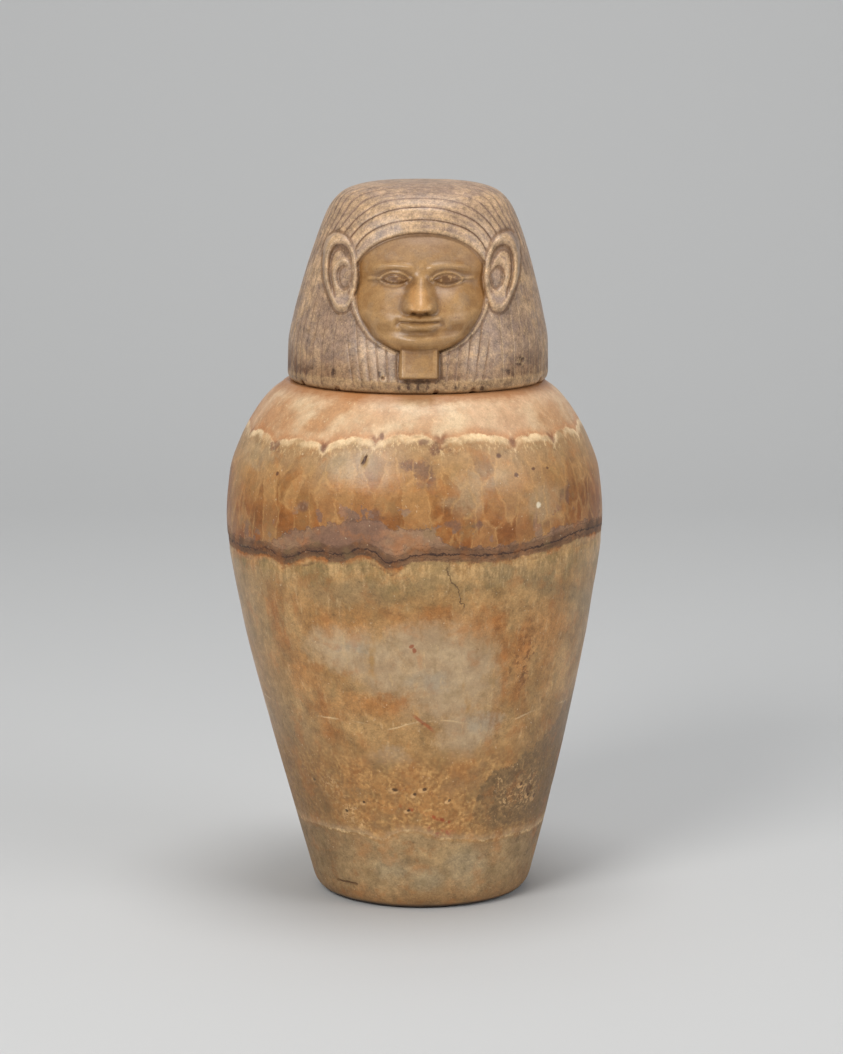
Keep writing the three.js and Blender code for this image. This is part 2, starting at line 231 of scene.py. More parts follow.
def hollowness(points, normals, reach):
    """Above 0 in recesses, below 0 on edges, from neighbours reach millimetres away."""
    column = np.linalg.norm(np.roll(points, -1, axis=1) - points, axis=2, keepdims=True)
    row = np.linalg.norm(np.diff(points, axis=0, append=points[-1:]), axis=2, keepdims=True)
    total = 0.0
    for step in (1, 2, 3, 4):
        side = 0.5 * (np.roll(points, step, axis=1) + np.roll(points, -step, axis=1)) - points
        padded = np.concatenate([points[:1]] * step + [points] + [points[-1:]] * step)
        count = len(points)
        above = padded[2 * step:2 * step + count]
        below = padded[:count]
        level = 0.5 * (above + below) - points
        near_c = np.exp(-((step * column - reach) / reach) ** 2)
        near_r = np.exp(-((step * row - reach) / reach) ** 2)
        total = total + (side * normals).sum(2, keepdims=True) * near_c
        total = total + (level * normals).sum(2, keepdims=True) * near_r
    return total[:, :, 0]


# The lid's carved form
RIM_HEIGHT = 262.0
LID_SHIFT = 1.7
LID_LEAN = 1.6
FIGURE_HEIGHT = 100.0
FIGURE_RADIUS = 65.6
PLUG_RADIUS = 44.8
PLUG_BOTTOM = 248.0
HAIRLINE = 77.0
CHIN = 23.0
FACE_MIDDLE_X = 0.6
FACE_HALF_WIDTH = 32.5
HAIR_STEP = 1.9
ARCH_BASE = 56.0
EYE_ACROSS = 12.8
EYE_UP = 54.8
EYE_REACH = 7.2

wig_width = curve([
    (6, FIGURE_RADIUS), (18, 65.4), (34, 62.6), (50, 58.6), (66, 53.9), (82, 48.2),
    (88, 45.2), (92, 42), (95, 38.3), (97.5, 32), (99, 24), (99.8, 12), (100, 0)])
wig_front = curve([
    (6, FIGURE_RADIUS), (18, 61.8), (28, 57.8), (48, 51.2), (68, 46), (76, 43.8),
    (83, 41.2), (88, 38.4), (92, 34.6), (95, 30), (97.5, 24), (99, 17), (99.8, 8.5), (100, 0)])
wig_back = curve([
    (6, FIGURE_RADIUS), (18, 65.4), (38, 63.2), (58, 58.8), (73, 53.6), (83, 48.4),
    (90, 42.6), (95, 35), (97.5, 28.5), (99, 21), (99.8, 10), (100, 0)])
face_middle = curve([
    (14, 60), (19, 63), (CHIN, 65.4), (27, 66.6), (32, 65.4), (35, 65.4), (38, 64.4),
    (42, 61.6), (48, 57.4), (54, 54.2), (59, 53), (65, 50.2), (71, 46.2),
    (HAIRLINE, 43.5 - HAIR_STEP), (83, 38.5)])
face_width = curve([
    (15, -6), (18.5, 5), (CHIN, 16.5), (28, 23), (35, 28), (43, 31.3),
    (53, FACE_HALF_WIDTH), (60, FACE_HALF_WIDTH)])
face_turn = curve([(21, 5), (28, 9), (35, 12.5), (43, 15.2), (53, 16), (68, 14)])


def wig_power(h):
    return 2 + 0.2 * ease(13, 58, h)


def inside_face(u, h):
    rise = HAIRLINE - ARCH_BASE
    radius = np.hypot(u / FACE_HALF_WIDTH, (h - ARCH_BASE) / rise)
    return np.where(h > ARCH_BASE, (1 - radius) * rise, face_width(h) - np.abs(u))


def eye_relief(side, h):
    across = side - EYE_ACROSS
    up = h - EYE_UP
    socket = -2.6 * bell(across, 8.5) * bell(up + 0.3, 5)
    arch = 1 - np.clip(np.abs(across) / EYE_REACH, 0, 1) ** 2
    top = 3.1 * arch ** 0.75
    low = -2.2 * arch
    span = np.maximum(top - low, 0.05)
    t = np.clip((up - low) / span, 0, 1)
    open_eye = (np.abs(across) < 7.1) * ease(0, 0.9, up - low) * ease(0, 0.9, top - up)
    ball = open_eye * (0.5 + 1.5 * np.sqrt(np.clip(4 * t * (1 - t) * arch, 0, 1)))
    upper_lid = 1.0 * bell(up - top - 0.55, 0.75) * (np.abs(across) < 8.2) * ease(0, 0.25, arch + 0.2)
    lower_lid = 0.6 * bell(up - low + 0.45, 0.7) * (np.abs(across) < 7.6)
    tail = 0.5 * bell(up - 0.6, 0.7) * ease(6, 8, across) * (1 - ease(12, 14.5, across))
    return socket + ball + upper_lid + lower_lid + tail


def eye_opening(side, h):
    across = side - EYE_ACROSS
    arch = 1 - np.clip(np.abs(across) / EYE_REACH, 0, 1) ** 2
    up = h - EYE_UP
    return ease(0.1, 0.9, up + 2.2 * arch) * ease(0.1, 0.9, 3.1 * arch ** 0.75 - up)


def nose_relief(side, h):
    along = (1 - ease(43.5, 60, h)) * ease(38.9, 42.0, h)
    reach = mix(5.6, 3.0, ease(43, 57, h))
    ridge = 9.5 * along * np.exp(-(side / reach) ** 2.3)
    wings = 3.5 * bell(side - 5.6, 2.1) * bell(h - 42.8, 2.5)
    crease = -0.5 * bell(side - 8.4, 1.4) * bell(h - 43.6, 3)
    root = -1.2 * bell(side - 7, 3) * bell(h - 54, 4)
    nostril = -2.0 * bell(side - 3.0, 1.2) * bell(h - 39.9, 0.9)
    return ridge + wings + crease + root + nostril


def mouth_relief(side, h):
    seam_h = 35.2 + 0.004 * side * side
    bow = 0.5 * bell(side - 2.6, 2.2) - 0.5 * bell(side, 1.3)
    upper = 1.6 * bell(h - seam_h - 1.9 - 0.6 * bow, 1.5) * (1 - ease(4, 10.2, side))
    lower = 1.9 * bell(h - seam_h + 2.2, 1.8) * (1 - ease(3.5, 9, side))
    seam = -1.5 * bell(h - seam_h, 0.62) * (1 - ease(8, 10.8, side))
    corner = -0.9 * bell(side - 10.8, 1.8) * bell(h - 35.2, 2)
    groove = -0.5 * bell(side, 1.5) * bell(h - 38.9, 1.8)
    return upper + lower + seam + corner + groove


def face_relief(u, h):
    side = np.abs(u)
    span = np.where(h > 60, FACE_HALF_WIDTH, np.maximum(face_width(h), 1))
    turn = np.minimum(side / span, 1.4) ** 2.4 * face_turn(h)
    brow_h = 61.6 - 0.012 * (side - 12) ** 2
    brow = 0.95 * bell(h - brow_h, 1.7) * ease(2, 6, side) * (1 - ease(20, 25, side))
    cheek = 1.7 * bell(side - 18.5, 8) * bell(h - 45.5, 7)
    chin = 1.3 * bell(side, 8.5) * bell(h - 26.4, 3.4)
    lip_hollow = -1.2 * bell(side, 7) * bell(h - 29.6, 1.9)
    jaw_edge = -2.4 * (1 - ease(0, 5, inside_face(u, h))) * (1 - ease(33, 46, h))
    return (face_middle(h) - turn + brow + cheek + chin + lip_hollow + jaw_edge
            + eye_relief(side, h) + nose_relief(side, h) + mouth_relief(side, h))


def ear_form(u, h):
    """Depth of the ear and how far a point lies outside its outline, in shares of its size."""
    side = np.abs(u)
    narrow = mix(0.66, 1.02, ease(39, 56, h))
    across = (side - 39.3 - 0.055 * (h - 57)) / (8.2 * narrow)
    up = (h - 57.0) / 18.2
    square = mix(3.2, 2.3, ease(-0.7, 0.1, up))
    reach = (np.abs(across) ** square + np.abs(up) ** square) ** (1 / square)
    plate = 42.8 - 0.42 * (side - 31.3) - 0.33 * (h - 57)
    upper = ease(-0.62, -0.3, up)
    bowl = np.hypot((across + 0.2) / 0.5, (up + 0.12) / 0.34)
    shell = -2.6 * (1 - ease(0.55, 1.1, bowl))
    channel = -1.7 * bell(reach - 0.66, 0.12) * ease(-0.35, 0.15, up + 0.7 * across)
    inner_fold = 0.7 * bell(bowl - 1.35, 0.25) * ease(-0.3, 0.3, up + 0.5 * across)
    basin = -1.1 * (1 - ease(0.6, 0.84, reach)) * upper
    notch = 1.2 * bell(across + 0.72, 0.2) * bell(up + 0.2, 0.12)
    lobe = 0.4 * bell(across, 0.6) * bell(up + 0.78, 0.2)
    roll = 0.35 * bell(reach - 0.88, 0.1)
    edge = -1.3 * ease(0.88, 1.03, reach)
    outside = np.maximum(reach - 1.0, 0) * 8.2
    form = plate + shell + channel + inner_fold + basin + notch + lobe + roll + edge
    return form - 7.0 * outside, reach


def beard_form(u, h):
    front = wig_front(h) + 5.6 - 1.6 * ease(8.5, 25, h) - 0.5 * (u / 9) ** 2
    out_x = np.maximum(np.abs(u) - 8.4, 0)
    out_h = np.maximum(9.1 - h, 0) + np.maximum(h - 24.0, 0)
    outside = np.hypot(out_x, out_h)
    rounding = np.where(outside < 0.6, 0, (outside - 0.6) * 9)
    return front - 0.8 * np.minimum(outside / 0.6, 1) ** 2 - rounding


def arc_tables():
    h = np.linspace(0, FIGURE_HEIGHT, 2001)
    y = wig_front(h)
    s = np.concatenate([[0], np.cumsum(np.hypot(np.diff(h), np.diff(y)))])
    return h, y, s


ARC_H, ARC_Y, ARC_S = arc_tables()
ARC_HAIR = np.interp(HAIRLINE, ARC_H, ARC_S)


def strand_field(turn, y, h, u):
    """Millimetres across the carved strands: 0 at the face's edge, growing to crown and back."""
    half = 34.4
    across = np.abs(turn) * 60.0
    rise = np.interp(h, ARC_H, ARC_S) - np.interp(ARCH_BASE, ARC_H, ARC_S)
    top_rise = ARC_HAIR - np.interp(ARCH_BASE, ARC_H, ARC_S)
    over = 0.0
    for power, share in ((2.0, 0.35), (3.6, 0.65)):
        radius = ((across / half) ** power + (np.maximum(rise, 0) / top_rise) ** power) ** (1 / power)
        over = over + share * (1 - 1 / np.maximum(radius, 0.05)) * np.hypot(across, rise)
    low = np.where(h > ARCH_BASE, over, across - half)
    front_s = np.interp(-y, ARC_Y[::-1], ARC_S[::-1]) - ARC_HAIR
    crown = np.where(y < 0, front_s, ARC_S[-1] - ARC_HAIR + y)
    return mix(low, crown, ease(82, 95, h))


LID_FIELDS = ("recess", "skin", "strand", "strand_width", "strand_on", "fan", "fan_on", "inlay")
LINES = [0.0, 7.0, 14.2, 20.4, 26.0, 31.2] + [36.4 + 5.2 * i for i in range(30)]


def lid_columns():
    even, edge = 0.6, math.asin(0.6)
    faces = np.linspace(-even, even, 138)
    left = np.sin(np.linspace(-math.pi / 2, -edge, 74))[:-1]
    right = np.sin(np.linspace(edge, math.pi / 2, 74))[1:]
    back = np.linspace(0, math.pi, 112)[1:-1]
    share = np.concatenate([left, faces, right, np.cos(back)])
    front = np.concatenate([np.ones(len(left) + len(faces) + len(right), bool), np.zeros(len(back), bool)])
    turn = np.where(front, np.arcsin(np.clip(share, -1, 1)), 0.0)
    turn[~front] = math.pi / 2 + back
    turn = np.where(turn > math.pi, turn - 2 * math.pi, turn)
    return share, front, turn


def make_lid():
    """The carved head: front and back sheets of the wig, with face, ears and beard set in front."""
    low = np.array([0.0, 0.25, 0.55, 0.9, 1.3, 1.8, 2.4, 3.1, 4.0])
    levels = np.concatenate([
        low, np.linspace(5, 17.5, 20), np.linspace(18, 80, 132), np.linspace(80.6, 94, 28),
        [94.9, 95.7, 96.4, 97.0, 97.6, 98.1, 98.55, 98.95, 99.25, 99.5, 99.7, 99.85, 99.95]])
    share, front, turn = lid_columns()
    high = np.repeat(levels[:, None], len(share), axis=1)
    shares = np.repeat(share[None, :], len(levels), axis=0)
    turns = np.repeat(turn[None, :], len(levels), axis=0)
    front = np.repeat(front[None, :], len(levels), axis=0)
    width = wig_width(high)
    power = wig_power(high)
    full = np.maximum(1 - np.abs(shares) ** power, 0) ** (1 / power)
    x = shares * width
    u = x - FACE_MIDDLE_X
    wig = wig_front(high) * full
    inside = inside_face(u, high)
    rim = 0.55 * bell(inside + 1.7, 1.0) * (1 - ease(50, 58, high)) * ease(16, 20, high)
    carved = mix(wig + rim, face_relief(u, high), ease(-0.8, 0.7, inside))
    ear, ear_reach = ear_form(u, high)
    near_ear = (ear_reach < 2.0) & (np.abs(u) > 25) & front
    carved = np.where(near_ear, smax(carved, ear, 1.2), carved)
    beard = beard_form(u, high)
    near_beard = (np.abs(u) < 14) & (high < 28) & front
    carved = np.where(near_beard, smax(carved, beard, 0.7), carved)
    y = np.where(front, -carved, wig_back(high) * full)
    inset = np.interp(high, [0, 0.25, 0.9, 1.8, 2.6, 4.0], [3.4, 2.35, 1.35, 0.65, 0.32, 0.0])
    shrink = 1 - inset / FIGURE_RADIUS
    shift = LID_SHIFT + LID_LEAN * ease(0, FIGURE_HEIGHT, high)
    points = np.stack([shift + x * shrink, y * shrink, RIM_HEIGHT + high], axis=2)

    flat = points.reshape(-1, 3)
    wobble = 0.4 * noise(flat, 16, 3).reshape(high.shape) + 0.1 * noise(flat, 6, 5).reshape(high.shape)
    from_face = strand_field(turns, y, high, u) + wobble
    on_beard = near_beard & (beard > carved - 1.5) & (high < 25)
    wig_area = np.where(front, 1 - ease(-1.4, -0.6, inside), 1.0)
    wig_area = wig_area * np.where(near_ear, ease(1.02, 1.12, ear_reach), 1.0)
    wig_area = np.where(on_beard, 0.0, wig_area)
    patchy = np.clip(0.8 + 0.7 * layered(flat, 26, 11).reshape(high.shape), 0.2, 1.2)
    across = turns * 60.0
    under_jaw = 1 - ease(33.2, 35.4, np.abs(across))
    under_jaw = under_jaw * (1 - ease(30, 42, high))
    fan = (across * (1 - 0.006 * (high - 8)) + 0.8 * wobble) / 4.4
    fan_gap = np.abs(fan - np.round(fan)) * 4.4
    strand = np.interp(from_face, LINES, np.arange(len(LINES)))
    width = np.interp(from_face, LINES, np.gradient(np.array(LINES)))
    strand_gap = np.abs(strand - np.round(strand)) * width
    strand_on = wig_area * patchy * ease(0.6, 2.5, high) * ease(3.0, 4.5, from_face)
    fan_on = wig_area * patchy * ease(0.6, 2.5, high) * under_jaw
    bold = ease(60, 74, high) * (1 - ease(15, 24, from_face))
    strand_on = strand_on * (1 - under_jaw) * mix(0.55, 1.0, bold)
    groove = np.maximum(strand_on * bell(strand_gap, 0.95), 0.7 * fan_on * bell(fan_gap, 0.8))
    normals = grid_normals(points)
    depth = 0.26 * groove
    depth = depth + 0.1 * layered(flat, 8, 21).reshape(high.shape) * ease(0, 3, high)
    chips = [(25, 0.8, 2.6, 0.7), (29, 2.0, 1.6, 0.5), (-15, 8.0, 1.5, 0.8), (52, 14, 1.6, 0.7),
             (-62, 0.8, 3.0, 0.9), (8, 1.0, 2.0, 0.6), (-38, 1.0, 2.2, 0.6), (70, 1.2, 3.2, 0.9),
             (-100, 1.0, 4.0, 1.0), (140, 1.0, 3.5, 1.1), (-170, 2.0, 2.5, 0.8)]
    rough = 0.7 * noise(flat, 2.4, 31).reshape(high.shape)
    for degrees, h, size, deep in chips:
        away = np.hypot((turns - math.radians(degrees)) * 63.0, high - h) + rough
        depth = depth + deep * (1 - ease(0.35 * size, size, away))
    points = points - normals * depth[:, :, None]
    points[:, :, 2] = np.clip(points[:, :, 2], RIM_HEIGHT, RIM_HEIGHT + FIGURE_HEIGHT)
    normals = grid_normals(points)
    # The recess measure is kept on the mesh for painted shade in hollows and painted highlights on edges.
    recess = np.clip(hollowness(points, normals, 1.3) * 1.6, -1, 1)
    face = ease(-0.6, 0.6, inside) * front
    inlay = face * eye_opening(np.abs(u), high)
    skin = np.clip(face * np.where(near_ear, ease(0.98, 1.06, ear_reach), 1) + on_beard, 0, 1)
    fields = (recess, skin, strand, width, strand_on, fan, fan_on, inlay)
    return grid_mesh("lid_carved", len(levels), len(share), points,
                     [LID_SHIFT, 0, RIM_HEIGHT], [LID_SHIFT + LID_LEAN, 0, RIM_HEIGHT + FIGURE_HEIGHT],
                     dict(zip(LID_FIELDS, fields)))


def make_plug():
    """The round plug under the lid, turned with a softened lower edge."""
    radius, bottom, top = PLUG_RADIUS, PLUG_BOTTOM, RIM_HEIGHT
    profile = [(40.0, bottom), (41.4, bottom), (42.3, bottom + 0.3), (43.4, bottom + 1.0),
               (44.3, bottom + 1.9), (radius, bottom + 2.9)]
    profile += [(radius, z) for z in np.linspace(bottom + 4.5, top, 9)]
    angles = np.linspace(0, 2 * math.pi, 144, endpoint=False)
    points = np.array([[[r * math.cos(a), r * math.sin(a), z] for a in angles] for r, z in profile])
    flat = points.reshape(-1, 3)
    rough = 0.25 * layered(flat, 7, 41).reshape(points.shape[:2])
    points[:, :, :2] *= (1 - np.abs(rough) / radius)[:, :, None]
    zero = np.zeros(points.shape[:2])
    return grid_mesh("lid_plug", len(profile), len(angles), points, [0, 0, bottom], [0, 0, top],
                     {name: zero for name in LID_FIELDS})


# The vessel
FOOT_SHIFT = 3.7
BELLY_HEIGHT = 194.0
NECK_HEIGHT = 240.0
FLOOR_TOP = 24.0
vessel_profile = curve([
    (8, 55.8), (40.03, 64.31), (96, 78.2), (144.02, 88.57), (BELLY_HEIGHT, 95.2), (216.04, 93.33),
    (232, 88), (247.95, 79.2), (257.03, 71.5), (259.5, 68)])
cavity_profile = curve([
    (33, 47.0), (96, 62.0), (BELLY_HEIGHT, 77.0), (221.6, 71.0), (NECK_HEIGHT, 47.0)])


def vessel_shift(z):
    return FOOT_SHIFT * (1 - ease(0, BELLY_HEIGHT, z))


def vein_height(a):
    """Height of the dark vein that runs round the belly, by angle from the front."""
    turn = np.degrees(a)
    at = [-180, -140, -100, -75, -57, -44, -30, -20, -15, -7, 0, 10, 22, 31, 47, 62, 80, 110, 150, 180]
    up = [187, 181, 186, 184, 184.5, 183, 188.5, 188, 191, 184.5, 188, 188.5, 187, 187.5, 190, 191,
          190, 184, 190, 187]
    return np.interp(turn, at, up)


def make_jar():
    """The turned vessel: outside, rim and hollow as one closed grid, worn and pitted outside."""
    outer = np.concatenate([
        [0.0, 0.15, 0.45, 0.9, 1.5, 2.2, 3.1, 4.2, 5.4, 6.7], np.linspace(8, 170, 96),
        np.linspace(171, 203, 29), np.linspace(204.6, 259.5, 36)])
    radius = np.where(outer < 8, 0, vessel_profile(outer))
    foot = np.interp(outer, [0, 0.15, 0.45, 0.9, 1.5, 2.2, 3.1, 4.2, 5.4, 6.7, 8],
                     [47.0, 48.1, 49.3, 50.5, 51.6, 52.5, 53.35, 54.15, 54.8, 55.35, 55.8])
    radius = np.where(outer < 8, foot, radius)
    lip = [(67.2, 260.1), (66.5, 260.7), (65.9, 261.3), (65.2, 261.75), (64.4, 262.0), (61, 262.0),
           (57, 262.0), (53, 262.0), (49.5, 262.0), (48.2, 262.0), (47.5, 261.6), (47.0, 260.9)]
    inner_z = np.concatenate([[256, 250, 245], np.linspace(NECK_HEIGHT, 33, 26)])
    inner = [(float(cavity_profile(min(z, NECK_HEIGHT))), float(z)) for z in inner_z]
    floor = [(45.7, 29.0), (43.2, 26.2), (40.5, 24.6), (38.0, FLOOR_TOP), (26, FLOOR_TOP), (13, FLOOR_TOP)]
    pairs = list(zip(radius, outer)) + lip + inner + floor
    ring_radius = np.array([p[0] for p in pairs])
    ring_height = np.array([p[1] for p in pairs])
    front = np.radians(np.linspace(-100, 100, 316))
    back = np.radians(np.linspace(100, 260, 96))[1:-1]
    angle = np.concatenate([front, back])
    angles = np.repeat(angle[None, :], len(ring_radius), axis=0)
    radii = np.repeat(ring_radius[:, None], len(angle), axis=1)
    high = np.repeat(ring_height[:, None], len(angle), axis=1)
    shift = vessel_shift(high)
    points = np.stack([shift + radii * np.sin(angles), -radii * np.cos(angles), high], axis=2)
    normals = grid_normals(points)
    flat = points.reshape(-1, 3)
    outside = np.zeros_like(radii)
    outside[:len(outer) + 8] = 1.0
    turn = np.where(angles > math.pi, angles - 2 * math.pi, angles)
    vein = vein_height(turn)
    below = high - vein + 0.8 * noise(flat, 9, 51).reshape(high.shape)
    soft = ease(-9, -6, below) * (1 - ease(-1.2, 0.4, below))
    depth = 0.45 * soft * (0.8 + 0.4 * noise(flat, 12, 53).reshape(high.shape))
    depth = depth + 0.3 * layered(flat, 26, 55).reshape(high.shape)
    depth = depth + 0.08 * layered(flat, 5, 57).reshape(high.shape)
    dents = [(-16, 233, 0.9, 2.6, 1.0), (52, 60, 3.4, 3.0, 0.5), (-42, 11.5, 8.0, 1.2, 0.9),
             (-8, 64, 8.0, 3.5, 0.35), (-30, 56, 7.0, 4.0, 0.3)]
    for degrees, z, wide, tall, deep in dents:
        across = (turn - math.radians(degrees)) * radii
        away = np.hypot(across / wide, (high - z) / tall)
        depth = depth + deep * (1 - ease(0.5, 1.25, away))
    fade = np.where(high < 0.2, 0.0, 1.0) * np.where(high > 261.9, 0.0, 1.0)
    inside = 1 - outside
    rough = inside * np.where((high > 30) & (high < 261), 0.5 * layered(flat, 16, 71).reshape(high.shape), 0)
    depth = np.maximum(depth * outside, 0.0) + rough
    points = points - normals * (depth * fade)[:, :, None]
    points[:, :, 2] = np.clip(points[:, :, 2], 0, RIM_HEIGHT)
    normals = grid_normals(points)
    # The recess measure is kept on the mesh for painted shade in hollows.
    recess = np.clip(hollowness(points, normals, 1.8) * 1.4, -1, 1) * outside
    return grid_mesh("jar_turned", len(ring_radius), len(angle), points, [FOOT_SHIFT, 0, 0],
                     [vessel_shift(FLOOR_TOP), 0, FLOOR_TOP], {"recess": recess, "outside": outside})


# Stone, as node networks
def tint(red, green, blue):
    """A colour as seen, 0 to 255, turned into the linear values that shaders take."""
    out = []
    for c in (red, green, blue):
        c = c / 255
        out.append(c / 12.92 if c <= 0.04045 else ((c + 0.055) / 1.055) ** 2.4)
    return (*out, 1.0)


class Value:
    """One output of a node, so that networks can be written as sums."""

    def __init__(self, net, socket):
        self.net = net
        self.socket = socket

    def __add__(self, other):
        return self.net.math("ADD", self, other)

    __radd__ = __add__

    def __sub__(self, other):
        return self.net.math("SUBTRACT", self, other)

    def __rsub__(self, other):
        return self.net.math("SUBTRACT", other, self)

    def __mul__(self, other):
        return self.net.math("MULTIPLY", self, other)

    __rmul__ = __mul__

    def __truediv__(self, other):
        return self.net.math("DIVIDE", self, other)


class Net:
    def __init__(self, name):
        self.material = bpy.data.materials.new(name)
        self.material.use_nodes = True
        self.tree = self.material.node_tree
        self.shader = self.tree.nodes["Principled BSDF"]

    def feed(self, socket, value):
        if isinstance(value, Value):
            self.tree.links.new(value.socket, socket)
        else:
            socket.default_value = value

    def node(self, kind, inputs, output=0, **settings):
        node = self.tree.nodes.new(kind)
        for key, value in settings.items():
            setattr(node, key, value)
        for key, value in inputs.items():
            self.feed(node.inputs[key], value)
        return Value(self, node.outputs[output])

    def math(self, operation, a, b=0.0):
        return self.node("ShaderNodeMath", {0: a, 1: b}, operation=operation)

    def largest(self, a, b):
        return self.math("MAXIMUM", a, b)

    def size(self, a):
        return self.math("ABSOLUTE", a)

    def rise(self, low, high, value):
        """0 below low, 1 above high, or the other way round when low is the larger."""
        return self.node("ShaderNodeMapRange", {0: value, 1: low, 2: high, 3: 0.0, 4: 1.0},
                         interpolation_type="SMOOTHSTEP")

    def line(self, distance, width, soft=0.6):
        return self.rise(width, width * (1 - soft), self.size(distance))

    def vector(self, x, y, z=0.0):
        return self.node("ShaderNodeCombineXYZ", {0: x, 1: y, 2: z})

    def vmath(self, operation, a, b=None, scale=None, output=0):
        inputs = {0: a}
        if b is not None:
            inputs[1] = b
        if scale is not None:
            inputs["Scale"] = scale
        return self.node("ShaderNodeVectorMath", inputs, output=output, operation=operation)

    def noise(self, vector, size, detail=3.0, rough=0.55, twist=0.0, colour=False):
        """Cloud noise with features about size millimetres across, 0 to 1."""
        return self.node("ShaderNodeTexNoise", {
            "Vector": vector, "Scale": 1.0 / size, "Detail": detail, "Roughness": rough,
            "Distortion": twist}, output=1 if colour else 0)

    def cells(self, vector, size, feature="F1", output="Distance"):
        return self.node("ShaderNodeTexVoronoi", {
            "Vector": vector, "Scale": 1.0 / size, "Randomness": 1.0},
            output=output, feature=feature)

    def blend(self, factor, a, b):
        node = self.tree.nodes.new("ShaderNodeMix")
        node.data_type = "RGBA"
        node.clamp_factor = True
        self.feed(node.inputs[0], factor)
        self.feed(node.inputs[6], a)
        self.feed(node.inputs[7], b)
        return Value(self, node.outputs[2])

    def mean(self, factor, a, b):
        node = self.tree.nodes.new("ShaderNodeMix")
        node.data_type = "FLOAT"
        self.feed(node.inputs[0], factor)
        self.feed(node.inputs[2], a)
        self.feed(node.inputs[3], b)
        return Value(self, node.outputs[0])

    def follow(self, where, stations, low, high):
        """A height that follows stations of (where, height), with where from -180 to 180."""
        node = self.tree.nodes.new("ShaderNodeFloatCurve")
        mapped = [((x + 180) / 360, (y - low) / (high - low)) for x, y in stations]
        points = node.mapping.curves[0].points
        points[0].location = mapped[0]
        points[-1].location = mapped[-1]
        for x, y in mapped[1:-1]:
            points.new(x, y)
        for point in points:
            point.handle_type = "AUTO_CLAMPED"
        node.mapping.update()
        self.feed(node.inputs["Value"], (where + 180.0) / 360.0)
        return Value(self, node.outputs[0]) * (high - low) + low

    def paint(self, under, share, red, green, blue):
        """Lay a colour, as seen, over another one by share."""
        return self.blend(share, under, tint(red, green, blue))

    def shade(self, colour, factor):
        return self.vmath("SCALE", colour, scale=factor)

    def filter(self, colour, red, green, blue):
        return self.vmath("MULTIPLY", colour, (red, green, blue))

    def parts(self, vector):
        node = self.tree.nodes.new("ShaderNodeSeparateXYZ")
        self.feed(node.inputs[0], vector)
        return [Value(self, output) for output in node.outputs]

    def attribute(self, name):
        return self.node("ShaderNodeAttribute", {}, output=2, attribute_name=name)

    def finish(self, colour, roughness, height, strength, distance):
        bump = self.node("ShaderNodeBump", {"Strength": strength, "Distance": distance,
                                            "Height": height})
        self.feed(self.shader.inputs["Base Color"], colour)
        self.feed(self.shader.inputs["Roughness"], roughness)
        self.feed(self.shader.inputs["Normal"], bump)
        return self.material


